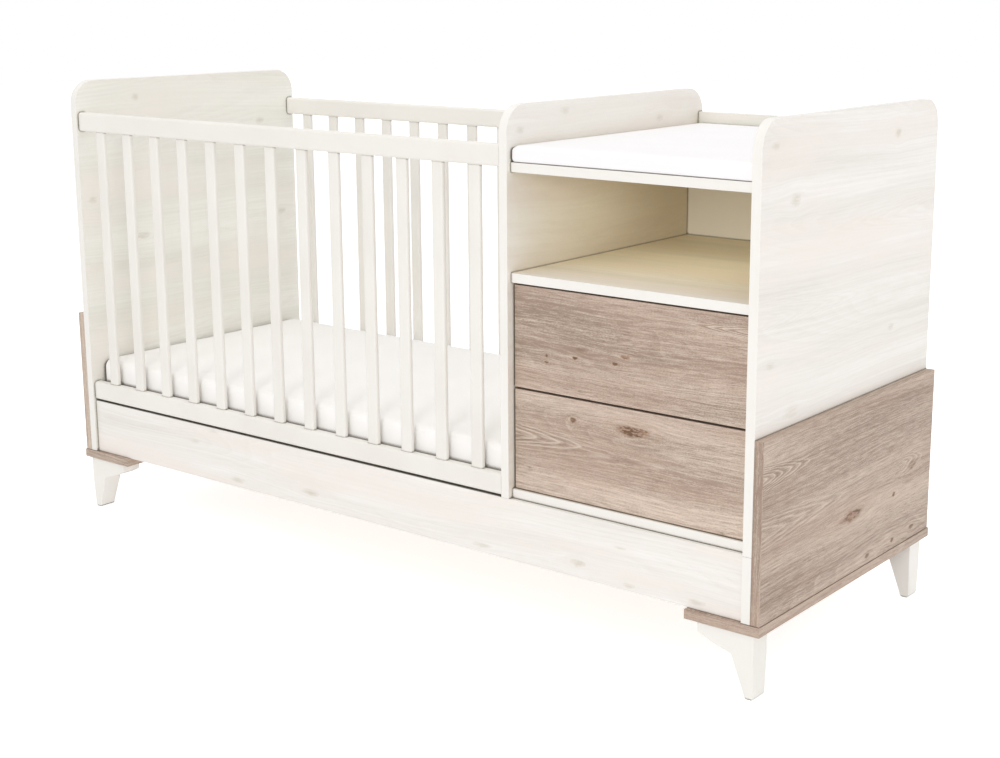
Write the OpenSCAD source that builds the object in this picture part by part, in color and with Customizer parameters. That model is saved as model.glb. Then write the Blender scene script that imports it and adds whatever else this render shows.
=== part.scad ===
// Crib with attached changer: a slatted crib and a drawer changer on one low frame.
// Millimetres, +Z up, +X along the length, front at -Y, origin on the floor at the middle.

/* [Overall] */
// Length between the outer faces of the two pale ends
end_span = 1760; // [1600:5:1900]
// Depth of every upright panel
depth = 655; // [600:5:720]
// Height of the uprights above the floor
height = 983; // [900:1:1060]
// Thickness of the main boards
board = 18; // [16:1:22]
// Radius of the rounded upper corners
corner_r = 50; // [20:1:80]
// Distance that the inner panel and the rails stand behind the front edges
inner_set = 6; // [2:1:12]

/* [Crib] */
// Free length inside the crib
crib_inner = 1200; // [1190:1:1230]
// Height of a crib rail
rail_h = 41; // [30:1:50]
// Thickness of a crib rail
rail_t = 21; // [18:1:30]
// Gap between the aprons and the lower rails
low_rail_gap = 4; // [3:1:20]
// Drop from the uprights' tops to the upper rails
rail_drop = 69; // [50:1:90]
// Number of uprights in each slatted side
slat_n = 13; // [11:1:15]
// Distance between a board and the nearest upright
slat_end = 49.5; // [40:0.1:70]
// Width of an upright
slat_w = 28; // [24:1:40]
// Thickness of an upright
slat_t = 10; // [8:1:14]
// Depth of the pocket that takes an upright's end
slat_tenon = 8; // [6:1:12]

/* [Frame] */
// Height of the feet
foot_h = 120; // [80:1:160]
// Height of the long aprons
apron_h = 119; // [105:1:140]
// Width of a base plate along the length
plate_w = 150; // [148:1:180]
// Amount a base plate stands out past the cover, the front and the rear
plate_over = 2; // [1:0.5:10]
// Height of the brown end covers
cover_h = 322; // [260:1:380]

/* [Feet] */
// Depth of a foot at its top
leg_d = 45; // [36:1:60]
// Inset of a foot from the plate's outer side
leg_inset = 14; // [8:1:28]
// Thickness of the bracket at its thin end
bracket_t = 18; // [15:1:24]
// Length of the bracket
bracket_l = 112; // [100:1:120]

/* [Changer] */
// Drop from the uprights' tops to the changing board
pad_drop = 101; // [60:1:120]
// Distance of the thin back from the rear edges
back_in = 53; // [40:1:120]
// Distance of the rear guard from the rear edges
guard_in = 0; // [0:1:30]
// Height of the rear guard
guard_h = 52; // [30:1:80]
// Distance that the boards stand behind the front edges
board_set = 17; // [8:1:22]

/* [Drawers] */
// Height of a drawer front
front_h = 190; // [160:1:220]
// Gap at the sides of a drawer front
front_gap = 3; // [2:0.5:4]
// Gap above a drawer front
front_step = 4; // [2:0.5:6]
// Distance that the fronts stand behind the front edges
front_set = 23; // [10:1:30]
// Distance from a drawer box up to its front's upper edge
box_low = 25; // [15:1:60]
// Space behind a drawer box
box_back = 61; // [20:1:120]
// Thickness of the drawer sides
side_t = 12; // [11:1:16]
// Travel of a drawer when it is pushed in to release it
push = 3; // [2:0.5:5]

/* [Soft parts] */
// Thickness of the mattress
mattress_t = 112; // [80:1:140]
// Thickness of the changing pad
pad_t = 29; // [20:1:60]

/* [Hidden] */

WHITE = [0.93, 0.91, 0.87];
IVORY = [0.94, 0.92, 0.87];
BROWN = [0.72, 0.62, 0.55];
STEEL = [0.75, 0.76, 0.78];
SOFT = [0.98, 0.98, 0.98];
PINE = [0.86, 0.76, 0.60];
BOARD_WHITE = [0.92, 0.92, 0.91];

eps = 0.01;
plate_z = foot_h;
frame_z = foot_h + board;
x_in_l = board;
x_in_r = end_span - board;
x_div = board + crib_inner;
x_cab = x_div + board;
cab_w = x_in_r - x_cab;
x_mid = end_span / 2;
y_mid = depth / 2;

cover_top = frame_z + cover_h;
apron_set = inner_set + 1;
back_span = depth + inner_set;
apron_top = frame_z + apron_h;
low_rail_z = apron_top + low_rail_gap;
top_rail_z = height - rail_drop - rail_h;

ledger_h = 25;
ledger_t = 22;
ledger_y = apron_set + board;
ledger_end = 2;
base_t = 18;
base_drop = 18;
bed_z = apron_top - base_drop;
base_z = bed_z - base_t;
ledger_z = base_z - ledger_h;
base_slat_w = 70;
base_slat_n = 17;
base_clear = 1;
base_end = 20;

module_z = apron_top;
bottom_z = module_z;
top_face = height - pad_drop;
top_z = top_face - board;
back_y = depth - back_in;
guard_y = depth - guard_in - board;
front_rise = 1;
low_front_z = bottom_z + board + front_rise;
up_front_z = low_front_z + front_h + front_step;
shelf_z = up_front_z + front_h + front_step;
box_rise = 15;
box_h = front_h - box_rise - box_low;
box_y0 = front_set + board;
box_d = back_y - box_back - box_y0;

bolt_clear = 0.1;
cam_r = 7.5;
cam_t = 13.5;
cam_in = 34;
dowel_r = 4;
cam_slot_w = 1.6;
cam_slot_d = 3;

// the whole object, moved from panel coordinates to the shared frame
module placed() {
  translate([-x_mid, -y_mid, 0])
    children();
}

module block(x0, y0, z0, x1, y1, z1) {
  translate([x0, y0, z0])
    cube([x1 - x0, y1 - y0, z1 - z0]);
}

// mirror of the left end for the right end
module to_right() {
  translate([end_span, 0, 0])
    mirror([1, 0, 0])
      children();
}

// mirror of a base plate's front half for its back half
module to_back() {
  translate([0, depth, 0])
    mirror([0, 1, 0])
      children();
}

// mirror of a long front member for the back, flush with the rear edges
module side_to_back() {
  translate([0, back_span, 0])
    mirror([0, 1, 0])
      children();
}

// upright panel with rounded upper corners, thin along X, from y0 to the rear edge
module upright(x0, y0, z0) {
  translate([x0, 0, 0])
    rotate([90, 0, 90])
      linear_extrude(height = board)
        union() {
          translate([y0, z0])
            square([depth - y0, height - corner_r - z0]);
          translate([y0 + corner_r, height - corner_r])
            circle(r = corner_r, $fn = 96);
          translate([depth - corner_r, height - corner_r])
            circle(r = corner_r, $fn = 96);
          translate([y0 + corner_r, height - 2 * corner_r])
            square([depth - y0 - 2 * corner_r, 2 * corner_r]);
        }
}

module bore_x(x, y, z, r, l) {
  translate([x, y, z])
    rotate([0, 90, 0])
      cylinder(r = r, h = l, $fn = 32);
}

module bore_z(x, y, z, r, l) {
  translate([x, y, z])
    cylinder(r = r, h = l, $fn = 32);
}

// ---- positions of the joints between boards ----
rail_zs = [low_rail_z, top_rail_z];
rail_ys = [inner_set, depth - rail_t];
dowel_drop = 11;
dowel_dz = rail_h - dowel_drop;
dowel_in = board / 2;
dowel_l = 27;

// dowels between the crib rails and the uprights, or their bores with a larger radius
module dowel_set(r) {
  for (y = rail_ys)
    for (z = rail_zs) {
      bore_x(board - dowel_in, y + rail_t / 2, z + dowel_dz, r, dowel_l);
      bore_x(x_div + dowel_in - dowel_l, y + rail_t / 2, z + dowel_dz, r, dowel_l);
    }
}

// ---- ends ----
module left_end_panel() {
  color(WHITE)
    placed()
      difference() {
        upright(0, 0, frame_z);
        dowel_set(dowel_r + bolt_clear);
      }
}

module left_end_cover() {
  color(BROWN)
    placed()
      block(-board, 0, frame_z, 0, depth, cover_top);
}

module right_lower_panel() {
  color(WHITE)
    placed()
      block(x_in_r, 0, frame_z, end_span, depth, module_z);
}

module right_end_cover() {
  color(BROWN)
    placed()
      to_right()
        block(-board, 0, frame_z, 0, depth, cover_top);
}

// screws that hold a foot, from the foot's outer side
foot_w = 19;
knee_w = 44;
screw_xs = [knee_w + 12, bracket_l - 18];
screw_r = 2;
screw_head_r = 4.2;
screw_head_h = 2.6;
screw_seat = bracket_t - 4;
screw_in = 14;
plate_x = -board - plate_over;
leg_y = 4;

module leg_screw_places() {
  for (x = screw_xs)
    translate([plate_x + leg_inset + x, leg_y + leg_d / 2, 0])
      children();
}

module plate_pilots() {
  leg_screw_places()
    bore_z(0, 0, plate_z - eps, screw_r + bolt_clear, screw_in + 1);
}

module base_plate() {
  difference() {
    block(plate_x, -plate_over, plate_z, plate_x + plate_w, depth + plate_over, frame_z);
    plate_pilots();
    to_back()
      plate_pilots();
  }
}

module left_base_plate() {
  color(BROWN)
    placed()
      base_plate();
}

module right_base_plate() {
  color(BROWN)
    placed()
      to_right()
        base_plate();
}

// ---- feet: a bracket foot that sweeps in along the length ----
knee_drop = 42;
arch_r = 192;
knee_fillet = 8;
knee_in = 4;
toe_r = 6;
leg_taper = 4;
taper_drop = 50;

// the arch passes through the knee and the bracket's thin end
knee = [knee_w, knee_drop];
thin_end = [bracket_l, bracket_t];
half_chord = (thin_end - knee) / 2;
arch_rise = sqrt(arch_r * arch_r - half_chord * half_chord);
arch_c = knee + half_chord
  + arch_rise * [half_chord[1], -half_chord[0]] / norm(half_chord);

// the fillet touches the arch and the foot's inner side
foot_dir = ([foot_w, foot_h - toe_r] - knee) / norm([foot_w, foot_h - toe_r] - knee);
foot_out = [foot_dir[1], -foot_dir[0]];
from_arch = knee + knee_fillet * foot_out - arch_c;
reach = pow(arch_r + knee_fillet, 2) - from_arch * from_arch;
along = sqrt(pow(from_arch * foot_dir, 2) + reach) - from_arch * foot_dir;
knee_c = knee + knee_fillet * foot_out + along * foot_dir;
arch_touch = arch_c + (knee_c - arch_c) * arch_r / (arch_r + knee_fillet);
foot_touch = knee_c - knee_fillet * foot_out;

// outline seen from the front: X from the foot's outer side, Y down from the plate
module leg_outline() {
  intersection() {
    translate(arch_c)
      circle(r = arch_r, $fn = 180);
    square([bracket_l, knee_drop + knee_fillet]);
  }
  polygon([[0, 0], [knee_w, 0], [knee_w, knee_drop], [foot_w, foot_h - toe_r],
    [0, foot_h - toe_r]]);
  translate([toe_r, foot_h - 2 * toe_r])
    square([foot_w - 2 * toe_r, 2 * toe_r]);
  for (x = [toe_r, foot_w - toe_r])
    translate([x, foot_h - toe_r])
      circle(r = toe_r, $fn = 48);
  difference() {
    polygon([knee - [knee_in, knee_in], arch_touch, knee_c, foot_touch]);
    translate(knee_c)
      circle(r = knee_fillet, $fn = 48);
  }
}

// outline seen from the side: the foot narrows towards the floor
module leg_side() {
  polygon([[0, 0], [leg_d, 0], [leg_d, taper_drop], [leg_d - leg_taper, foot_h],
    [leg_taper, foot_h], [0, taper_drop]]);
}

module leg_shape() {
  difference() {
    intersection() {
      translate([plate_x + leg_inset, leg_y + leg_d, plate_z])
        rotate([90, 0, 0])
          linear_extrude(height = leg_d)
            mirror([0, 1])
              leg_outline();
      translate([plate_x + leg_inset, leg_y, plate_z])
        rotate([90, 0, 90])
          linear_extrude(height = bracket_l)
            mirror([0, 1])
              leg_side();
    }
    leg_screw_places() {
      bore_z(0, 0, 0, screw_r + bolt_clear, plate_z + eps);
      bore_z(0, 0, 0, screw_head_r + bolt_clear, plate_z - screw_seat);
    }
  }
}

module leg_screw() {
  bore_z(0, 0, plate_z - screw_seat - screw_head_h, screw_head_r, screw_head_h);
  bore_z(0, 0, plate_z - screw_seat - eps, screw_r, screw_seat + screw_in);
}

module leg_front_left() {
  color(IVORY)
    placed()
      leg_shape();
}

module leg_back_left() {
  color(IVORY)
    placed()
      to_back()
        leg_shape();
}

module leg_front_right() {
  color(IVORY)
    placed()
      to_right()
        leg_shape();
}

module leg_back_right() {
  color(IVORY)
    placed()
      to_right()
        to_back()
          leg_shape();
}

module leg_screws() {
  color(STEEL)
    placed() {
      leg_screw_places()
        leg_screw();
      to_back()
        leg_screw_places()
          leg_screw();
      to_right()
        leg_screw_places()
          leg_screw();
      to_right()
        to_back()
          leg_screw_places()
            leg_screw();
    }
}

// ---- long aprons, ledgers and the slatted base ----
module front_apron() {
  color(WHITE)
    placed()
      block(x_in_l, apron_set, frame_z, x_in_r, apron_set + board, apron_top);
}

module back_apron() {
  color(WHITE)
    placed()
      block(x_in_l, back_span - apron_set - board, frame_z, x_in_r,
        back_span - apron_set, apron_top);
}

module front_ledger() {
  color(PINE)
    placed()
      block(x_in_l + ledger_end, ledger_y, ledger_z, x_in_r - ledger_end,
        ledger_y + ledger_t, base_z);
}

module back_ledger() {
  color(PINE)
    placed()
      block(x_in_l + ledger_end, back_span - ledger_y - ledger_t, ledger_z,
        x_in_r - ledger_end, back_span - ledger_y, base_z);
}

module base_slats() {
  base_x0 = x_in_l + base_end;
  base_step = (x_in_r - base_end - base_slat_w - base_x0) / (base_slat_n - 1);
  color(PINE)
    placed()
      for (i = [0 : base_slat_n - 1])
        block(base_x0 + i * base_step, ledger_y + base_clear, base_z,
          base_x0 + i * base_step + base_slat_w, back_span - ledger_y - base_clear, bed_z);
}

angle_leg = 40;
angle_wd = 30;
angle_th = 3;
angle_rise = 8;
angle_hole_r = 3.2;
angle_hole_in = 12;

// folded steel angle between an apron and an end panel
module angle_bracket() {
  translate([x_in_l, apron_set + board, frame_z + angle_rise])
    difference() {
      union() {
        cube([angle_leg, angle_th, angle_wd]);
        cube([angle_th, angle_leg, angle_wd]);
      }
      translate([angle_leg - angle_hole_in, -1, angle_wd / 2])
        rotate([-90, 0, 0])
          cylinder(r = angle_hole_r, h = angle_th + 2, $fn = 24);
      translate([-1, angle_leg - angle_hole_in, angle_wd / 2])
        rotate([0, 90, 0])
          cylinder(r = angle_hole_r, h = angle_th + 2, $fn = 24);
    }
}

module apron_brackets() {
  color(STEEL)
    placed() {
      angle_bracket();
      side_to_back()
        angle_bracket();
      to_right()
        angle_bracket();
      to_right()
        side_to_back()
          angle_bracket();
    }
}

// ---- slatted crib sides ----
slat_y = rail_ys[0] + (rail_t - slat_t) / 2;
slat_x0 = board + slat_end;
slat_pitch = (crib_inner - 2 * slat_end - slat_w) / (slat_n - 1);
edge_r = 4;

// rail section with softened front and back arrises, in YZ
module rail_section() {
  translate([edge_r, 0])
    square([rail_t - 2 * edge_r, rail_h]);
  translate([0, edge_r])
    square([rail_t, rail_h - 2 * edge_r]);
  for (y = [edge_r, rail_t - edge_r])
    for (z = [edge_r, rail_h - edge_r])
      translate([y, z])
        circle(r = edge_r, $fn = 32);
}

// pockets for the ends of the uprights, from z up by the tenon's depth
module slat_pockets(z) {
  for (i = [0 : slat_n - 1])
    block(slat_x0 + i * slat_pitch, slat_y, z, slat_x0 + i * slat_pitch + slat_w,
      slat_y + slat_t, z + slat_tenon);
}

module rail_bare(z) {
  translate([board, rail_ys[0], z])
    rotate([90, 0, 90])
      linear_extrude(height = crib_inner)
        rail_section();
}

rail_cam_r = 6;
rail_cam_t = 12;
rail_cam_in = 24;

// eccentric fittings stand in the undersides of the rails
module rail_cam_places(z) {
  for (x = [board + rail_cam_in, x_div - rail_cam_in])
    translate([x, rail_ys[0] + rail_t / 2, z])
      children();
}

module rail(z, pocket_z) {
  difference() {
    rail_bare(z);
    slat_pockets(pocket_z);
    rail_cam_places(z)
      translate([0, 0, -1])
        cylinder(r = rail_cam_r + bolt_clear, h = rail_cam_t + 1, $fn = 32);
    dowel_set(dowel_r + bolt_clear);
  }
}

module slat_set() {
  for (i = [0 : slat_n - 1])
    block(slat_x0 + i * slat_pitch, slat_y, low_rail_z + rail_h - slat_tenon,
      slat_x0 + i * slat_pitch + slat_w, slat_y + slat_t, top_rail_z + slat_tenon);
}

module front_top_rail() {
  color(IVORY)
    placed()
      rail(top_rail_z, top_rail_z);
}

module front_bottom_rail() {
  color(IVORY)
    placed()
      rail(low_rail_z, low_rail_z + rail_h - slat_tenon);
}

module front_slats() {
  color(IVORY)
    placed()
      slat_set();
}

module back_top_rail() {
  color(IVORY)
    placed()
      side_to_back()
        rail(top_rail_z, top_rail_z);
}

module back_bottom_rail() {
  color(IVORY)
    placed()
      side_to_back()
        rail(low_rail_z, low_rail_z + rail_h - slat_tenon);
}

module back_slats() {
  color(IVORY)
    placed()
      side_to_back()
        slat_set();
}

// eccentric disc with its driver slot, lying on z = 0 and growing up
module cam_disc(r, t) {
  difference() {
    cylinder(r = r, h = t, $fn = 32);
    translate([-r * 0.6, -cam_slot_w / 2, -1])
      cube([r * 1.2, cam_slot_w, cam_slot_d + 1]);
    translate([-cam_slot_w / 2, -r * 0.6, -1])
      cube([cam_slot_w, r * 1.2, cam_slot_d + 1]);
  }
}

module rail_cams() {
  color(STEEL)
    placed() {
      for (z = rail_zs)
        rail_cam_places(z)
          cam_disc(rail_cam_r, rail_cam_t);
      side_to_back()
        for (z = rail_zs)
          rail_cam_places(z)
            cam_disc(rail_cam_r, rail_cam_t);
    }
}

module rail_dowels() {
  color(PINE)
    placed()
      dowel_set(dowel_r);
}

// ---- changer carcass ----
back_groove = 4;
back_t = 6;

module carcass_cuts(x0) {
  block(x0, back_y, bottom_z + board, x0 + back_groove, back_y + back_t, top_z);
}

module divider_panel() {
  color(WHITE)
    placed()
      difference() {
        upright(x_div, inner_set, module_z);
        dowel_set(dowel_r + bolt_clear);
        carcass_cuts(x_cab - back_groove);
      }
}

module right_side_panel() {
  color(WHITE)
    placed()
      difference() {
        upright(x_in_r, 0, module_z);
        carcass_cuts(x_in_r);
      }
}

cab_cam_ys = [board_set + 60, back_y - 90];

// eccentric fittings stand in the undersides of the boards
module cab_cam_places(z) {
  for (x = [x_cab + cam_in, x_in_r - cam_in])
    for (y = cab_cam_ys)
      translate([x, y, z])
        children();
}

module cab_board(z, y1) {
  difference() {
    block(x_cab, board_set, z, x_in_r, y1, z + board);
    cab_cam_places(z - 1)
      cylinder(r = cam_r + bolt_clear, h = cam_t + 1, $fn = 32);
  }
}

module changer_top() {
  color(WHITE)
    placed()
      cab_board(top_z, guard_y + board);
}

module open_shelf() {
  color(WHITE)
    placed()
      cab_board(shelf_z, back_y);
}

module changer_bottom() {
  color(WHITE)
    placed()
      cab_board(bottom_z, back_y + back_t);
}

module changer_back() {
  color(BOARD_WHITE)
    placed()
      block(x_cab - back_groove, back_y, bottom_z + board, x_in_r + back_groove,
        back_y + back_t, top_z);
}

module back_guard() {
  color(WHITE)
    placed()
      block(x_cab, guard_y, top_face, x_in_r, guard_y + board, top_face + guard_h);
}

module cabinet_cams() {
  color(STEEL)
    placed()
      for (z = [top_z, shelf_z, bottom_z])
        cab_cam_places(z)
          cam_disc(cam_r, cam_t);
}

// ---- drawers ----
slide_w = 12.7;
slide_l = box_d;
slide_h = 45;
slide_dz = 65;
box_x0 = x_cab + slide_w;
box_x1 = x_in_r - slide_w;
panel_t = 4;
panel_rise = 10;
panel_groove = 6;
drawer_cam_t = side_t - 2;
drawer_cam_in = 24;
drawer_cam_edge = 40;

module drawer_panel_cut(z) {
  block(box_x0 + side_t - panel_groove, box_y0 - panel_groove, z + box_rise + panel_rise,
    box_x1 - side_t + panel_groove, box_y0 + box_d, z + box_rise + panel_rise + panel_t);
}

module drawer_front(z) {
  difference() {
    block(x_cab + front_gap, front_set, z, x_in_r - front_gap, front_set + board, z + front_h);
    drawer_panel_cut(z);
  }
}

// eccentric fittings stand in the inner faces of the drawer sides
module drawer_cam_places(z) {
  for (dz = [drawer_cam_edge, box_h - drawer_cam_edge])
    translate([box_x0 + side_t, box_y0 + drawer_cam_in, z + box_rise + dz])
      rotate([0, -90, 0])
        children();
}

module drawer_side(z) {
  difference() {
    block(box_x0, box_y0, z + box_rise, box_x0 + side_t, box_y0 + box_d, z + box_rise + box_h);
    drawer_panel_cut(z);
    drawer_cam_places(z)
      translate([0, 0, -1])
        cylinder(r = cam_r + bolt_clear, h = drawer_cam_t + 1, $fn = 32);
  }
}

// mirror across the middle of the changer
module cab_mirror() {
  translate([x_cab + x_in_r, 0, 0])
    mirror([1, 0, 0])
      children();
}

module drawer_back(z) {
  block(box_x0 + side_t, box_y0 + box_d - side_t, z + box_rise + panel_rise + panel_t,
    box_x1 - side_t, box_y0 + box_d, z + box_rise + box_h);
}

module drawer_cams(z) {
  drawer_cam_places(z)
    cam_disc(cam_r, drawer_cam_t);
  cab_mirror()
    drawer_cam_places(z)
      cam_disc(cam_r, drawer_cam_t);
}

module upper_front() {
  color(BROWN)
    placed()
      drawer_front(up_front_z);
}

module upper_left_side() {
  color(BOARD_WHITE)
    placed()
      drawer_side(up_front_z);
}

module upper_right_side() {
  color(BOARD_WHITE)
    placed()
      cab_mirror()
        drawer_side(up_front_z);
}

module upper_back() {
  color(BOARD_WHITE)
    placed()
      drawer_back(up_front_z);
}

module upper_bottom() {
  color(BOARD_WHITE)
    placed()
      drawer_panel_cut(up_front_z);
}

module upper_cams() {
  color(STEEL)
    placed()
      drawer_cams(up_front_z);
}

module lower_front() {
  color(BROWN)
    placed()
      drawer_front(low_front_z);
}

module lower_left_side() {
  color(BOARD_WHITE)
    placed()
      drawer_side(low_front_z);
}

module lower_right_side() {
  color(BOARD_WHITE)
    placed()
      cab_mirror()
        drawer_side(low_front_z);
}

module lower_back() {
  color(BOARD_WHITE)
    placed()
      drawer_back(low_front_z);
}

module lower_bottom() {
  color(BOARD_WHITE)
    placed()
      drawer_panel_cut(low_front_z);
}

module lower_cams() {
  color(STEEL)
    placed()
      drawer_cams(low_front_z);
}

// ---- telescopic slides ----
sheet = 1.2;
outer_depth = 8.5;
outer_lip = 3.7;
mid_u0 = 3;
mid_u1 = 11.4;
mid_half = 16.5;
mid_lip = 3.7;
in_u0 = 6.5;
in_half = 11.5;
ball_out_r = 2.2;
ball_in_r = 1.8;
ball_in_u = 7.5;
ball_out_u = 4.2;
ball_seat = 0.2;
race_in = 13.6;
ball_row = 300;
ball_end = 20;
outer_y0 = box_y0 + push + 1;
middle_y0 = box_y0 + push;
inner_y0 = box_y0 + 1;
slide_y1 = box_y0 + slide_l;
slide_hole_r = 2.3;
slide_hole_front = 36;
slide_hole_back = 48;
slide_hole_mid = 10;

// screw holes along a member, with the middle one off centre
function slide_holes(shift) = [box_y0 + slide_hole_front, box_y0 + slide_l / 2 + shift,
  slide_y1 - slide_hole_back];

// C section open towards +X: web at u0, flanges to u1, lips turned inwards
module channel(u0, u1, half, lip) {
  translate([u0, -half])
    square([sheet, 2 * half]);
  for (s = [0, 1])
    mirror([0, s])
      union() {
        translate([u0, half - sheet])
          square([u1 - u0, sheet]);
        translate([u1 - sheet, half - lip])
          square([sheet, lip]);
      }
}

module along_y(y0, y1) {
  translate([0, y1, 0])
    rotate([90, 0, 0])
      linear_extrude(height = y1 - y0)
        children();
}

// fixed outer member on the inner face of the changer's side
module slide_outer(z) {
  translate([x_cab, 0, z + slide_dz])
    difference() {
      along_y(outer_y0, slide_y1)
        channel(0, outer_depth, slide_h / 2, outer_lip);
      for (y = slide_holes(slide_hole_mid))
        translate([-1, y, 0])
          rotate([0, 90, 0])
            cylinder(r = slide_hole_r, h = sheet + 2, $fn = 24);
    }
}

// middle member with its ball rows and stops
module slide_middle(z) {
  translate([x_cab, 0, z + slide_dz]) {
    along_y(middle_y0, slide_y1 - 2)
      channel(mid_u0, mid_u1, mid_half, mid_lip);
    for (s = [-1, 1]) {
      along_y(slide_y1 - ball_end - ball_row, slide_y1 - ball_end)
        translate([ball_out_u, s * (mid_half + ball_out_r - ball_seat)])
          circle(r = ball_out_r, $fn = 32);
      along_y(box_y0 + ball_end, box_y0 + ball_end + ball_row)
        translate([ball_in_u, s * race_in])
          circle(r = ball_in_r, $fn = 32);
    }
  }
}

// C section of the inner member, open towards the changer's side
module inner_section() {
  polygon([[in_u0, in_half], [slide_w, in_half], [slide_w, -in_half], [in_u0, -in_half],
    [in_u0, sheet - in_half], [slide_w - sheet, sheet - in_half],
    [slide_w - sheet, in_half - sheet], [in_u0, in_half - sheet]]);
}

// inner member on the outside of the drawer's side
module slide_inner(z) {
  translate([x_cab, 0, z + slide_dz])
    difference() {
      along_y(inner_y0, slide_y1 - 4)
        inner_section();
      for (y = slide_holes(-2 * slide_hole_mid))
        translate([slide_w - sheet - 1, y, 0])
          rotate([0, 90, 0])
            cylinder(r = slide_hole_r, h = sheet + 2, $fn = 24);
    }
}

module upper_outer_left() {
  color(STEEL)
    placed()
      slide_outer(up_front_z);
}

module upper_outer_right() {
  color(STEEL)
    placed()
      cab_mirror()
        slide_outer(up_front_z);
}

module upper_middle_left() {
  color(STEEL)
    placed()
      slide_middle(up_front_z);
}

module upper_middle_right() {
  color(STEEL)
    placed()
      cab_mirror()
        slide_middle(up_front_z);
}

module upper_inner_left() {
  color(STEEL)
    placed()
      slide_inner(up_front_z);
}

module upper_inner_right() {
  color(STEEL)
    placed()
      cab_mirror()
        slide_inner(up_front_z);
}

module lower_outer_left() {
  color(STEEL)
    placed()
      slide_outer(low_front_z);
}

module lower_outer_right() {
  color(STEEL)
    placed()
      cab_mirror()
        slide_outer(low_front_z);
}

module lower_middle_left() {
  color(STEEL)
    placed()
      slide_middle(low_front_z);
}

module lower_middle_right() {
  color(STEEL)
    placed()
      cab_mirror()
        slide_middle(low_front_z);
}

module lower_inner_left() {
  color(STEEL)
    placed()
      slide_inner(low_front_z);
}

module lower_inner_right() {
  color(STEEL)
    placed()
      cab_mirror()
        slide_inner(low_front_z);
}

// ---- soft parts: crowned blocks built ring by ring ----
soft_corner_n = 7;
soft_edge_n = 4;

// one rounded rectangle of points; its long and short sides bow out in the middle
function soft_corner(hx, hy, r, q) = [for (k = [0 : soft_corner_n - 1])
  let (a = 90 * (q + k / (soft_corner_n - 1)),
    sx = (q == 0 || q == 3) ? 1 : -1,
    sy = (q == 0 || q == 1) ? 1 : -1)
  [sx * (hx - r) + r * cos(a), sy * (hy - r) + r * sin(a)]];

function soft_edge(p, q, nx, ny, bow) = [for (k = [1 : soft_edge_n])
  let (t = k / (soft_edge_n + 1))
  [p[0] + (q[0] - p[0]) * t + nx * bow * 4 * t * (1 - t),
    p[1] + (q[1] - p[1]) * t + ny * bow * 4 * t * (1 - t)]];

function soft_ring(hx, hy, r, bow, z) =
  let (c0 = soft_corner(hx, hy, r, 0),
    c1 = soft_corner(hx, hy, r, 1),
    c2 = soft_corner(hx, hy, r, 2),
    c3 = soft_corner(hx, hy, r, 3),
    e = soft_corner_n - 1)
  [for (p = concat(c0, soft_edge(c0[e], c1[0], 0, 1, bow), c1,
      soft_edge(c1[e], c2[0], -1, 0, bow), c2, soft_edge(c2[e], c3[0], 0, -1, bow), c3,
      soft_edge(c3[e], c0[0], 1, 0, bow)))
    [p[0], p[1], z]];

// rings: [height, inset from the outer half sizes, corner radius, bow]
module soft_block(hx, hy, rings, cap) {
  n = 4 * (soft_corner_n + soft_edge_n);
  m = len(rings);
  ring_pts = [for (g = rings)
    for (p = soft_ring(hx - g[1], hy - g[1], g[2], g[3], g[0]))
      p];
  pts = concat(ring_pts, [[0, 0, rings[0][0]], [0, 0, cap]]);
  sides = [for (i = [0 : m - 2])
    for (k = [0 : n - 1])
      let (a = i * n + k, b = i * n + (k + 1) % n)
        each [[a, a + n, b], [b, a + n, b + n]]];
  low = [for (k = [0 : n - 1]) [k, (k + 1) % n, m * n]];
  top = [for (k = [0 : n - 1]) [(m - 1) * n + (k + 1) % n, (m - 1) * n + k, m * n + 1]];
  polyhedron(points = pts, faces = concat(sides, low, top), convexity = 4);
}

mat_end_gap = 2.5;
mat_side_gap = 3.5;
mat_hx = crib_inner / 2 - mat_end_gap;
mat_hy = (depth - inner_set) / 2 - rail_t - mat_side_gap;
mat_edge = mattress_t - 6;
mat_rings = [[0, 12, 22, 0], [3, 5, 26, 0], [10, 1.5, 28, 0.5], [22, 0.4, 30, 1],
  [50, 0, 30, 1.2], [mat_edge - 28, 0.2, 30, 1.2], [mat_edge - 14, 2.5, 30, 1],
  [mat_edge - 5, 8, 30, 0.5], [mat_edge, 18, 30, 0], [mat_edge + 2, 34, 34, 0],
  [mat_edge + 3.6, 70, 40, 0], [mat_edge + 4.8, 130, 40, 0], [mat_edge + 5.6, 200, 30, 0],
  [mattress_t, 270, 12, 0]];

module mattress() {
  color(SOFT)
    placed()
      translate([board + crib_inner / 2, back_span / 2, bed_z])
        soft_block(mat_hx, mat_hy, mat_rings, mattress_t);
}

pad_side_gap = 3.5;
pad_end_gap = 2;
pad_x = (x_cab + x_in_r) / 2;
pad_hx = cab_w / 2 - pad_side_gap;
pad_y0 = board_set;
pad_y1 = guard_y - pad_end_gap;
pad_edge = pad_t - 4;
pad_rings = [[0, 9, 14, 0], [2, 3.5, 17, 0], [6, 1, 19, 0.5], [12, 0, 20, 0.8],
  [pad_edge - 11, 0.5, 20, 0.8], [pad_edge - 5, 3.5, 20, 0.6], [pad_edge - 1.5, 8.5, 20, 0],
  [pad_edge, 15, 20, 0], [pad_edge + 1.4, 30, 22, 0], [pad_edge + 2.4, 60, 26, 0],
  [pad_edge + 3.2, 110, 26, 0], [pad_edge + 3.8, 165, 20, 0], [pad_t, 215, 12, 0]];

module changing_pad() {
  color(SOFT)
    placed()
      translate([pad_x, (pad_y0 + pad_y1) / 2, top_face])
        soft_block(pad_hx, (pad_y1 - pad_y0) / 2, pad_rings, pad_t);
}

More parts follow.
